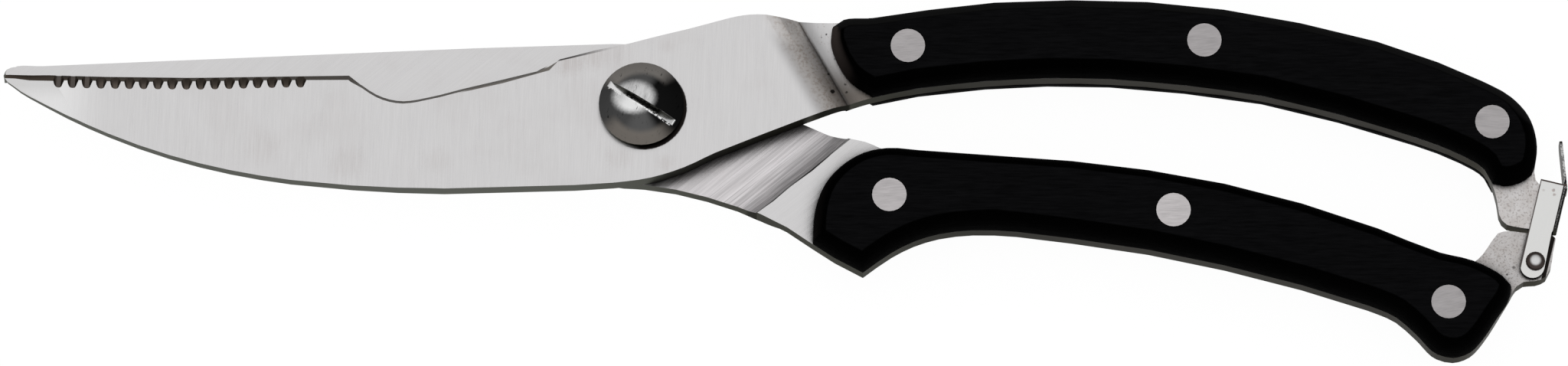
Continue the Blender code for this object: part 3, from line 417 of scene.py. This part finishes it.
def place_group():
    """Object coordinates as millimetres about the pivot axis."""
    w, _, leave = new_group("shears_place", {}, {"Place": "Vector"})
    coords = w.node("TexCoord").outputs["Object"]
    placed = w.node("Mapping", Vector=coords, Scale=(1 / MM,) * 3, Location=tuple(-PIVOT / MM))
    w.put(leave["Place"], placed.outputs[0])


def brushing_group():
    """Fine streaks of a belt, long along the turned Y axis. Streaks lie between 0 and 1."""
    w, entry, leave = new_group(
        "belt_brushing",
        {"Place": "Vector", "Turn": "Float", "Fineness": "Float", "Length": "Float"},
        {"Streaks": "Float"},
    )
    turned = w.node("VectorRotate", {"rotation_type": "Z_AXIS"}, Vector=entry["Place"], Angle=entry["Turn"])
    across = entry["Fineness"]
    size = w.node("CombineXYZ", X=across, Y=w.math("DIVIDE", 1.0, entry["Length"]), Z=across)
    stretched = w.vector("MULTIPLY", turned.outputs[0], size.outputs[0])
    fine = w.node("TexNoise", Vector=stretched, Scale=1.0, Detail=3.0, Roughness=0.62)
    w.put(leave["Streaks"], w.span(fine.outputs[0], 0.3, 0.7, smooth=False))


def cloud_group():
    """Soft patches. Amount is how much of the surface they take, from 0 to 1."""
    w, entry, leave = new_group(
        "soft_patches",
        {"Place": "Vector", "Size": "Float", "Amount": "Float", "Edge": "Float"},
        {"Patches": "Float"},
    )
    scale = w.math("DIVIDE", 1.0, entry["Size"])
    noise = w.node("TexNoise", Vector=entry["Place"], Scale=scale, Detail=4.0, Roughness=0.55)
    level = w.math("SUBTRACT", 1.0, entry["Amount"])
    low = w.math("SUBTRACT", level, entry["Edge"])
    high = w.math("ADD", level, entry["Edge"])
    w.put(leave["Patches"], w.span(noise.outputs[0], low, high))


def spot_group():
    """A mark round a point, with a ragged edge."""
    w, entry, leave = new_group(
        "ragged_spot",
        {"Place": "Vector", "Centre": "Vector", "Radius": "Float", "Softness": "Float", "Ragged": "Float"},
        {"Mask": "Float"},
    )
    offset = w.vector("SUBTRACT", entry["Place"], entry["Centre"])
    distance = w.vector("LENGTH", w.vector("MULTIPLY", offset, FLAT))
    noise = w.node("TexNoise", Vector=entry["Place"], Scale=3.0, Detail=2.0)
    rough = w.times(w.math("SUBTRACT", noise.outputs[0], 0.5), entry["Ragged"])
    outer = w.math("ADD", entry["Radius"], entry["Softness"])
    w.put(leave["Mask"], w.span(w.math("ADD", distance, rough), entry["Radius"], outer, 1.0, 0.0))


def line_group():
    """How far a point lies beyond a line, in millimetres. Angle is the way that the line faces."""
    w, entry, leave = new_group(
        "beyond_line", {"Place": "Vector", "Angle": "Float", "Offset": "Float"}, {"Distance": "Float"}
    )
    x, y, _ = w.axes(entry["Place"])
    across = w.times(x, w.math("COSINE", entry["Angle"]))
    along = w.times(y, w.math("SINE", entry["Angle"]))
    w.put(leave["Distance"], w.math("SUBTRACT", w.math("ADD", across, along), entry["Offset"]))


def facing_group():
    """The way that a face looks. Rise is 0 on a flat face and 1 on an upright one. Up is 1 on upper faces."""
    w, _, leave = new_group(
        "face_turn", {}, {"Rise": "Float", "Toward X": "Float", "Toward Y": "Float", "Up": "Float"}
    )
    x, y, z = w.axes(w.node("NewGeometry").outputs["Normal"])
    w.fill(leave, w.math("SUBTRACT", 1.0, w.math("ABSOLUTE", z)), x, y, w.span(z, 0.0, 0.2))


for make_group in (place_group, brushing_group, cloud_group, spot_group, line_group, facing_group):
    make_group()


def brushing(w, place, turn, fineness, length):
    return use(w, "belt_brushing", Place=place, Turn=turn, Fineness=fineness, Length=length)[0]


def patches(w, place, size, amount, edge):
    return use(w, "soft_patches", Place=place, Size=size, Amount=amount, Edge=edge)[0]


def spot(w, place, x, y, radius, softness, ragged):
    return use(w, "ragged_spot", Place=place, Centre=(x, y, 0.0), Radius=radius, Softness=softness,
               Ragged=ragged)[0]


def line(w, place, angle, offset):
    return use(w, "beyond_line", Place=place, Angle=math.radians(angle), Offset=offset)[0]


def facing(w):
    return use(w, "face_turn")


def marked(w, place, colour, marks, tone, grain=1.0):
    """Ragged marks in a tone over a colour, broken up by the grain."""
    for *mark, strength in marks:
        colour = w.blend(w.times(spot(w, place, *mark), strength, grain), colour, tone)
    return colour


def smallest(w, place, lines):
    """How far a point lies beyond all of the lines."""
    least, *others = [line(w, place, *each) for each in lines]
    for other in others:
        least = w.math("MINIMUM", least, other)
    return least


def new_tree(owner):
    """The wiring of a material's or a world's node tree, which is emptied."""
    owner.use_nodes = True
    owner.node_tree.nodes.clear()
    return Wiring(owner.node_tree)


def new_finish(name):
    """A metal or plastic, its wiring, the sockets of its surface and the place of each point."""
    material = bpy.data.materials.new(name)
    w = new_tree(material)
    shader = w.node("BsdfPrincipled")
    w.put(w.node("OutputMaterial").inputs["Surface"], shader.outputs[0])
    return material, w, shader.inputs, use(w, "shears_place")[0]


def satin(w, place, turn, tone, strength, fineness, length):
    """A brushed colour and its streaks: the tone, a little lighter and darker along the belt's lines."""
    fine = brushing(w, place, turn, fineness, length)
    broad = brushing(w, place, turn, fineness * BROAD_FINENESS, length * BROAD_LENGTH)
    streaks = w.math("MULTIPLY_ADD", fine, 0.6, w.times(broad, 0.4))
    lit = w.span(streaks, 0.0, 1.0, 1.0 - strength, 1.0 + strength, smooth=False)
    return w.shade(tone, lit), streaks


def brushed_normal(w, streaks, strength):
    return w.node("Bump", Strength=strength, Distance=BRUSH_DEPTH, Height=streaks).outputs[0]


def steel(w, surface, colour, streaks, rough=(0.26, 0.36), relief=0.15, dull=0.0):
    """Bare metal. Its brushing fades out towards upright faces."""
    flat = w.span(facing(w)["Rise"], 0.1, 0.5, 1.0, 0.0)
    streaks = w.math("MULTIPLY_ADD", w.math("SUBTRACT", streaks, 0.5), flat, 0.5)
    w.put(surface["Base Color"], colour)
    w.put(surface["Metallic"], 1.0)
    w.put(surface["Specular Tint"], GRAZING_TINT)
    w.put(surface["Roughness"], w.math("ADD", w.span(streaks, 0.0, 1.0, *rough), dull))
    w.put(surface["Normal"], brushed_normal(w, streaks, relief))


def ground_and_shaded_sides(w, x, colour, plain, bevel):
    """The tones of a blade's sides and bevel, partly their own ground finish and partly painted shade, with its
    marks kept to the upper face.

    Its ramps, right of the pivot, keep the flat tone. The sides that look up the photograph take the bevel's.
    """
    turn = facing(w)
    rise = w.math("SUBTRACT", turn["Rise"], w.span(x, *LEANS_X, 0.0, 0.26))
    side = w.blend(w.span(turn["Toward Y"], -0.15, 0.15), w.stops(x, SIDE_TONES), bevel)
    return w.blend(w.stops(rise, LEAN_SHARE), w.blend(turn["Up"], plain, colour), side)


def mottled(w, place, colour, x, level):
    """A darker, blotchy and speckled tone on the stubs behind the handles."""
    tone = w.shade(colour, (level, level * 0.985, level * 0.975, 1.0))
    blotches = patches(w, place, size=2.2, amount=0.5, edge=0.2)
    specks = patches(w, place, size=0.36, amount=0.42, edge=0.07)
    tone = w.shade(tone, STUB_BLOTCHES, blotches)
    tone = w.shade(tone, STUB_SPECKS, w.times(specks, 0.8))
    return w.blend(w.span(x, *STUB_X), colour, tone)


def ramp_marks(w, place, x, y, ramp, colour):
    """The ramp's painted shade, haze and dust, a darker patch low on it by its foot, and painted shade on the
    tang between its foot and the handle.
    """
    colour = w.shade(colour, w.stops(ramp, RAMP_SHADE), w.span(x, *RAMP_X))
    on_ramp = w.times(w.span(ramp, -5.5, -2.5), w.span(ramp, 0.4, 0.0))
    dust = patches(w, place, size=0.5, amount=0.45, edge=0.1)
    colour = w.shade(colour, HAZE, on_ramp)
    colour = w.shade(colour, DUST, w.times(dust, on_ramp))
    tang = w.times(w.span(y, *TANG_Y), w.span(ramp, -0.2, 0.4), w.span(ramp, 4.0, 5.5, 1.0, 0.0))
    colour = w.shade(colour, TANG_SHADE, tang)
    # Darker low on the ramp, by its foot
    low_on_ramp = w.times(w.span(y, *SOOT_Y), w.span(ramp, -3.6, -0.6), w.span(ramp, 0.1, 0.0))
    return w.shade(colour, LOW_RAMP_DARKER, low_on_ramp)


def notch_marks(w, place, x, colour):
    """The ground wall of the bone notch, and the dark line along its lip."""
    notch = w.times(w.span(smallest(w, place, NOTCH_LOW), -0.04, 0.04), w.span(x, *BONE_NOTCH_X))
    over = w.math("ADD", smallest(w, place, NOTCH_HIGH), w.span(x, *NOTCH_MOUTH_X, 0.0, -5.0))
    colour = w.blend(w.times(notch, w.span(over, 0.04, -0.04)), colour, NOTCH_TONE)
    lip = w.times(w.span(line(w, place, *LIP_EDGE), -0.13, -0.03), w.span(x, *LIP_X, 0.0, 0.9))
    return w.blend(w.times(lip, w.span(x, *LIP_END_X)), colour, PIT_AND_SHADOW)


def front_blade_finish():
    material, w, surface, place = new_finish("front_blade_satin")
    x, y, _ = w.axes(place)
    colour, streaks = satin(w, place, FRONT_BELT, BLADE_TONE, strength=0.085, fineness=5.0, length=6.0)
    grain = w.span(streaks, 0.2, 0.8, 1.7, 0.4, smooth=False)
    patchy = patches(w, place, size=9.0, amount=0.42, edge=0.12)
    colour = plain = w.blend(w.times(patchy, STAIN_SHARE), colour, BROWN)
    # Painted light on the tip, offsetting the darker reflection of its thinning face
    colour = w.blend(w.span(x, *TIP_X, 0.0, 0.42), colour, TIP_LIGHTENING)
    colour = marked(w, place, colour, FRONT_STAINS, BROWN, grain)
    ramp = line(w, place, *RAMP_FOOT)
    colour = ramp_marks(w, place, x, y, ramp, colour)
    colour = notch_marks(w, place, x, colour)
    # Painted shadow of the screw head on the blade
    shadow = w.times(spot(w, place, *HEAD_SHADOW), w.span(x, *HEAD_SHADOW_X))
    colour = w.blend(shadow, colour, PIT_AND_SHADOW)
    by_handle = w.times(w.span(ramp, 0.2, 1.0), w.span(x, *TANG_X))
    specks = patches(w, place, size=0.4, amount=0.33, edge=0.06)
    colour = w.shade(colour, TANG_SPECKS, w.times(specks, by_handle))
    colour = mottled(w, place, colour, x, level=0.97)
    colour = marked(w, place, colour, RAMP_PITS, PIT_AND_SHADOW)
    behind = w.math("MAXIMUM", w.span(x, *PAST_BEVEL_X), w.span(facing(w)["Rise"], 0.85, 0.96))
    bevel = w.blend(behind, w.stops(x, BEVEL_TONES), BACK_TONE)
    dull = w.times(w.span(ramp, -6.5, -4.0), w.span(ramp, 0.6, 0.0), w.span(y, *DULL_Y), 0.45)
    steel(w, surface, ground_and_shaded_sides(w, x, colour, plain, bevel), streaks, dull=dull)
    return material


def plate_marks(w, place, x, y, step, plate, colour):
    """The combed grooves of the round plate, the shade at its step, and the shade of what lies over it."""
    colour = w.shade(colour, PLATE_TINT, w.times(plate, w.span(step, 0.2, -0.6)))
    grooves = brushing(w, place, REAR_BELT, fineness=2.6, length=14.0)
    fine = brushing(w, place, REAR_BELT, fineness=9.0, length=16.0)
    combed = w.math("MULTIPLY_ADD", fine, 0.5, w.times(grooves, 0.5))
    near = w.times(plate, w.span(step, 0.1, -0.1), w.span(step, -10.0, -2.0, 0.35, 1.0))
    colour = w.shade(colour, w.span(combed, 0.3, 0.7, 0.74, 1.18, smooth=False), near)
    colour = w.shade(colour, w.stops(step, STEP_SHADE), w.times(plate, w.span(x, *STEP_X, 0.25, 1.0)))
    open_sky = w.node("AmbientOcclusion", {"samples": OVERHANG_SAMPLES}, Distance=OVERHANG_REACH)
    open_sky = w.math("MULTIPLY_ADD", combed, 0.06, w.math("SUBTRACT", open_sky.outputs["AO"], 0.03))
    under = w.math("MAXIMUM", plate, w.times(w.span(x, *BELOW_SCREW_X), w.span(y, *BELOW_SCREW_Y)))
    return w.shade(colour, w.stops(open_sky, OVERHANG_SHADE), under)


def rear_blade_finish():
    material, w, surface, place = new_finish("rear_blade_satin")
    x, y, _ = w.axes(place)
    colour, streaks = satin(w, place, REAR_BELT, BLADE_TONE, strength=0.07, fineness=4.5, length=9.0)
    patchy = patches(w, place, size=7.0, amount=0.4, edge=0.12)
    colour = plain = w.blend(w.times(patchy, STAIN_SHARE), colour, BROWN)
    plate = w.span(x, *PLATE_X)
    step = line(w, place, *STEP_EDGE)
    colour = plate_marks(w, place, x, y, step, plate, colour)
    colour = mottled(w, place, colour, x, level=0.86)
    colour = marked(w, place, colour, REAR_MARKS, PIT_AND_SHADOW)
    # Painted shadow of the latch arm on the rear stub
    latch_shadow = w.span(w.math("ABSOLUTE", line(w, place, *LATCH_RIGHT)), 0.36, 0.28)
    colour = w.blend(w.times(latch_shadow, w.span(y, *LATCH_SHADE_Y)), colour, PIT_AND_SHADOW)
    dull = w.times(plate, w.span(step, -1.8, -1.0), w.span(step, 0.1, 0.0), 0.35)
    steel(w, surface, ground_and_shaded_sides(w, x, colour, plain, BACK_TONE), streaks, dull=dull)
    return material


def handle_finish():
    """Black moulding, with painted shade on its rolled edges and painted light on its nose and upper edges."""
    material, w, surface, place = new_finish("handle_black")
    x, y, _ = w.axes(place)
    turn = facing(w)
    grain = brushing(w, place, GRIP_BELT, fineness=3.0, length=4.0)
    level = w.span(grain, 0.0, 1.0, 0.0026, 0.0058, smooth=False)
    flat = w.node("CombineColor", Red=level, Green=level, Blue=w.times(level, 1.1)).outputs[0]
    # Painted shade on the rolled edges, then painted light on the nose and on the faces that look up
    colour = w.blend(w.span(turn["Rise"], 0.002, 0.04), flat, GRIP_EDGE_SHADE)
    lit = w.times(w.span(turn["Toward X"], -0.5, -0.95), w.span(x, *GRIP_NOSE_X),
                  w.span(y, *NOSE_LIT_Y, 0.15, 1.0))
    colour = w.blend(lit, colour, w.blend(w.span(y, *NOSE_TONE_Y), GRIP_NOSE_LIT_LOW, GRIP_NOSE_LIT_HIGH))
    colour = w.blend(w.times(w.span(turn["Toward Y"], 0.6, 0.95), 0.6), colour, GRIP_TOP_LIT)
    upper = w.span(line(w, place, *BETWEEN_GRIPS), 0.0, 1.0)
    colour = w.blend(w.times(w.span(turn["Toward Y"], 0.1, 0.4), upper), colour, UPPER_GRIP_TOP_LIT)
    w.put(surface["Base Color"], colour)
    w.put(surface["Roughness"], w.span(grain, 0.0, 1.0, 0.72, 0.86))
    w.put(surface["Specular IOR Level"], 0.008)
    w.put(surface["Normal"], brushed_normal(w, grain, 0.2))
    return material


def rivet_finish(number, tone, turn):
    material, w, surface, place = new_finish(f"rivet_satin_{number}")
    tone = (tone, tone * 0.955, tone * 0.963, 1.0)
    colour, streaks = satin(w, place, math.radians(turn), tone, strength=0.24, fineness=4.5, length=2.5)
    # Painted shade on the rivet's upright sides
    colour = w.blend(w.span(facing(w)["Rise"], 0.1, 0.6), colour, RIVET_RIM_SHADE)
    steel(w, surface, colour, streaks, rough=(0.3, 0.45), relief=0.3)
    return material


def dome_tones(w, place, x, y, radius, slot, streaks):
    """The polished dome's painted reflections: a bright highlight, a dark ring round it and a browner rim."""
    upright = w.math("DIVIDE", w.math("ABSOLUTE", y), w.math("MAXIMUM", radius, 0.1))
    right = w.span(x, -0.5, 1.5)
    low = w.span(y, 0.5, -1.5)
    ring = w.blend(w.span(upright, 0.75, 1.0), w.blend(right, RING_LEFT, RING_RIGHT), RING_ENDS)
    bound = w.math("ADD", w.times(right, w.span(low, 0.0, 1.0, 0.17, 0.22)), 0.35)
    turned = w.span(w.math("SUBTRACT", upright, bound), 0.0, 0.38)
    rim = w.blend(turned, ring, w.blend(low, RIM_HIGH, RIM_LOW))
    # Painted highlight on the dome, with a painted glint below the slot
    highlight = w.shade(HIGHLIGHT_TONE, w.span(streaks, 0.0, 1.0, 0.84, 1.14))
    highlight = w.shade(highlight, HIGHLIGHT_BESIDE_SLOT, w.span(slot, 0.2, 0.6))
    glint = w.times(spot(w, place, *HEAD_GLINT), w.span(slot, 0.0, -0.6))
    highlight = w.blend(glint, highlight, GLINT)
    lit = spot(w, w.vector("MULTIPLY", place, HIGHLIGHT_OVAL), *HEAD_HIGHLIGHT)
    return w.blend(lit, w.blend(w.span(radius, 4.2, 5.4), ring, rim), highlight)


def slot_tones(w, place, radius, slot, colour):
    """The slot's painted light and shade: a bright, patchy lip below it, a shaded floor that is lit in patches
    and at its ends, and a shaded and a lit wall.
    """
    patchy = patches(w, place, size=0.5, amount=0.52, edge=0.05)
    reach = w.math("ABSOLUTE", line(w, place, *SLOT_END))
    lip = w.times(w.span(slot, -0.86, -0.72), w.span(slot, -0.5, -0.44, 1.0, 0.0))
    colour = w.blend(w.times(patchy, lip, w.span(reach, 5.9, 5.6)), colour, SLOT_LIP_HIGHLIGHT)
    inside = w.times(w.span(w.math("ABSOLUTE", slot), 0.53, 0.47), w.span(reach, 6.2, 6.0))
    bottom = w.blend(w.times(w.span(slot, 0.3, 0.2), patchy), SLOT_FLOOR_SHADE, SLOT_FLOOR_LIT)
    bottom = w.blend(w.span(reach, 2.8, 4.0), bottom, SLOT_ENDS_LIT)
    colour = w.blend(inside, colour, bottom)
    turn = facing(w)
    wall = w.times(w.span(turn["Rise"], 0.5, 0.8), w.span(radius, HEAD_RADIUS, HEAD_RADIUS - 0.2))
    return w.blend(wall, colour, w.blend(w.span(turn["Toward Y"], -0.2, 0.2), SLOT_WALL_SHADE, SLOT_WALL_LIT))


def screw_finish():
    material, w, surface, place = new_finish("screw_polish_painted_light")
    x, y, z = w.axes(place)
    radius = w.vector("LENGTH", w.vector("MULTIPLY", place, FLAT))
    slot = line(w, place, *SLOT_SIDE)
    streaks = brushing(w, place, SCREW_BELT, fineness=1.6, length=3.0)
    colour = dome_tones(w, place, x, y, radius, slot, streaks)
    scratches = brushing(w, place, SCRATCH_TURN, fineness=3.6, length=2.2)
    colour = w.shade(colour, SCRATCH, w.span(scratches, 0.16, 0.05))
    colour = slot_tones(w, place, radius, slot, colour)
    # Painted shade on the upright side of the head
    under = w.times(w.span(facing(w)["Rise"], 0.5, 0.9), w.span(radius, HEAD_RADIUS, HEAD_RADIUS + 0.2))
    colour = w.blend(under, colour, HEAD_SIDE_SHADE)
    colour = w.blend(w.span(z, HEAD_LOW - 0.1, HEAD_LOW), BACK_TONE, colour)
    steel(w, surface, colour, streaks, rough=(0.14, 0.2), relief=0.05)
    return material


def latch_finish():
    """Plain sheet, smudged by the tab, with a porous bend, painted shade in the fold of the bend, and darker
    edges that are partly cut finish and partly painted shade.
    """
    material, w, surface, place = new_finish("latch_sheet")
    turn = facing(w)
    plain, streaks = satin(w, place, LATCH_BELT, LATCH_TONE, strength=0.02, fineness=3.0, length=3.0)
    grain = w.span(streaks, 0.3, 0.7, 1.6, 0.3, smooth=False)
    colour = marked(w, place, plain, LATCH_SMUDGES, BROWN, grain)
    # Darker upright edges, partly their cut finish and partly painted shade
    colour = w.blend(w.span(turn["Rise"], 0.03, 0.35), colour, LATCH_EDGE)
    pores = patches(w, place, size=0.3, amount=0.5, edge=0.08)
    bend = line(w, place, *LATCH_BEND)
    web = w.span(line(w, place, *WEB_FOOT), 0.0, 0.3)
    colour = w.shade(colour, w.blend(pores, BENT_SOLID, BENT_PORES), w.times(w.span(bend, 0.0, 0.1), web))
    # Painted shade in the fold of the bend
    crease_shade = w.times(w.span(w.math("ABSOLUTE", bend), 0.14, 0.06), web)
    colour = w.blend(crease_shade, colour, PIT_AND_SHADOW)
    rim = line(w, place, *LATCH_RIM)
    colour = w.shade(colour, w.blend(pores, RIM_SOLID, RIM_PORES), w.span(rim, 0.26, 0.36))
    # Dark lines along the tab's top edge and the left edge, partly cut finish and partly painted shade
    colour = w.blend(w.times(w.span(rim, -0.1, 0.0), w.span(rim, 0.36, 0.26)), colour, LATCH_TOP_EDGE)
    colour = w.blend(w.span(line(w, place, *LATCH_LEFT), -0.05, 0.03), colour, LATCH_LEFT_EDGE)
    outside = w.math("MAXIMUM", turn["Up"], w.span(turn["Rise"], 0.5, 0.7))
    steel(w, surface, w.blend(outside, plain, colour), streaks, rough=(0.28, 0.32), relief=0.05)
    return material


def button_finish():
    """The latch rivet: a bright centre in a ring of painted shade on its sloping edge."""
    material, w, surface, place = new_finish("button_polish")
    colour, streaks = satin(w, place, BUTTON_BELT, BUTTON_TONE, strength=0.05, fineness=3.0, length=2.0)
    colour = w.blend(w.span(facing(w)["Rise"], 0.02, 0.08), colour, BUTTON_RING_SHADE)
    steel(w, surface, colour, streaks, rough=(0.16, 0.22), relief=0.05)
    return material


def hardware_finish():
    """The washer, the nut and the spring."""
    material, w, surface, place = new_finish("hardware_plain")
    colour, streaks = satin(w, place, HARDWARE_BELT, HARDWARE_TONE, strength=0.1, fineness=2.5, length=1.5)
    steel(w, surface, colour, streaks, rough=(0.3, 0.42))
    return material


FRONT_BLADE = front_blade_finish()
REAR_BLADE = rear_blade_finish()
HANDLE = handle_finish()
RIVETS = {place: rivet_finish(number, *look) for number, (place, look) in enumerate(RIVET_LOOKS.items(), 1)}
SCREW = screw_finish()
LATCH = latch_finish()
BUTTON = button_finish()
HARDWARE = hardware_finish()


def give(piece, material):
    piece.data.materials.clear()
    piece.data.materials.append(material)
    for face in piece.data.polygons:
        face.material_index = 0


def deselect():
    bpy.ops.object.select_all(action="DESELECT")


def worked_copy(node, material, smooth=PLATE_ANGLE, winds=None):
    """A merged copy of a solid, whose curved faces shade smoothly. It takes the solid's place.

    One that winds turns with the lower half below the first height and with the upper half above the second.
    """
    deselect()
    source = nodes[node]
    source.select_set(True)
    bpy.context.view_layer.objects.active = source
    bpy.ops.object.duplicate()
    piece = bpy.context.active_object
    piece.name = node + "_finished"
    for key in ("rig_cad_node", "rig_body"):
        if key in piece:
            del piece[key]
    if piece.data.has_custom_normals:
        bpy.ops.mesh.customdata_custom_splitnormals_clear()
    bpy.ops.object.mode_set(mode="EDIT")
    bpy.ops.mesh.select_all(action="SELECT")
    bpy.ops.mesh.remove_doubles(threshold=MERGE_DISTANCE)
    bpy.ops.mesh.dissolve_limited(angle_limit=FLAT_ANGLE)
    bpy.ops.object.mode_set(mode="OBJECT")
    bpy.ops.object.shade_smooth_by_angle(angle=math.radians(smooth))
    even = piece.modifiers.new("even", "WEIGHTED_NORMAL")
    even.keep_sharp = True
    even.weight = NORMAL_WEIGHT
    bpy.ops.object.modifier_apply(modifier=even.name)
    give(piece, material)
    if winds:
        bpy.ops.object.parent_clear(type="CLEAR_KEEP_TRANSFORM")
        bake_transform(piece, "lower_half", "upper_half", start=(*PIVOT.xy, winds[0]), end=(*PIVOT.xy, winds[1]))
    else:
        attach(piece, body_of(source)[0])
    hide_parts(node)


worked_copy("front_blade", FRONT_BLADE)
worked_copy("rear_blade", REAR_BLADE)
for half in ("upper", "lower"):
    for side in ("front", "back"):
        worked_copy(f"{half}_grip_{side}", HANDLE, ROUNDED_ANGLE)
        for row in ("front", "middle", "rear"):
            give(nodes[f"rivet_{half}_{row}_{side}_half"], RIVETS[f"{half}_{row}"])
worked_copy("pivot_screw", SCREW, DOME_ANGLE)
worked_copy("latch_stirrup", LATCH, ROUNDED_ANGLE)
worked_copy("latch_rivet", BUTTON, ROUNDED_ANGLE)
spring_low, spring_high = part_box("opening_spring")
spring_ends = (spring_low.z + SPRING_WIRE, spring_high.z - SPRING_WIRE)
worked_copy("opening_spring", HARDWARE, WIRE_ANGLE, spring_ends)
for name in ("pivot_washer", "pivot_nut"):
    give(nodes[name], HARDWARE)


def mixed(w, share, first, second):
    made = w.node("MixShader")
    w.fill(made.inputs, share, first, second)
    return made.outputs[0]


def lay_table():
    """A matt white table that looks like bare paper to the camera and in reflections."""
    deselect()
    bpy.ops.mesh.primitive_plane_add(size=TABLE_SIZE, location=(0.0, 0.0, -TABLE_DROP))
    table = bpy.context.active_object
    table.name = "table_top"
    material = bpy.data.materials.new("table_white")
    w = new_tree(material)
    matt = w.node("BsdfDiffuse", Color=PAPER).outputs[0]
    glow = w.node("Emission", Color=WHITE, Strength=TABLE_GLOW).outputs[0]
    path = w.node("LightPath").outputs
    mirrored = w.math("MAXIMUM", path["Is Glossy Ray"], path["Is Transmission Ray"])
    seen = w.math("MAXIMUM", path["Is Camera Ray"], mirrored)
    shown = mixed(w, w.times(seen, TABLE_GLOW_SHARE), matt, glow)
    w.put(w.node("OutputMaterial").inputs["Surface"], shown)
    give(table, material)


def pitch_tent():
    """A tent that is brightest overhead and plain white to the camera."""
    world = bpy.data.worlds.new("studio_tent")
    bpy.context.scene.world = world
    w = new_tree(world)
    _, _, height = w.axes(w.node("TexCoord").outputs["Generated"])
    light = w.node("Background", Color=w.stops(height, TENT_LIGHT), Strength=1.0).outputs[0]
    paper = w.node("Background", Color=WHITE, Strength=1.0).outputs[0]
    seen = w.node("LightPath").outputs["Is Camera Ray"]
    w.put(w.node("OutputWorld").inputs["Surface"], mixed(w, seen, light, paper))


def aim_camera():
    """A long lens at the tilt of the photograph, at the distance that gives the photograph's scale."""
    deselect()
    width = PHOTO_WIDTH / PIXELS_PER_MM * MM
    distance = width * CAMERA_LENS / CAMERA_SENSOR + (SHARP_HEIGHT - AIM.z) * math.cos(CAMERA_TILT)
    back = Vector((0.0, -math.sin(CAMERA_TILT), math.cos(CAMERA_TILT)))
    bpy.ops.object.camera_add(location=AIM + back * distance, rotation=(CAMERA_TILT, 0.0, 0.0))
    made = bpy.context.active_object
    made.name = "photo_camera"
    made.data.lens = CAMERA_LENS
    made.data.sensor_width = CAMERA_SENSOR
    made.data.clip_start, made.data.clip_end = CAMERA_REACH
    bpy.context.scene.camera = made


lay_table()
pitch_tent()
aim_camera()
bpy.context.scene.view_settings.view_transform = "Standard"
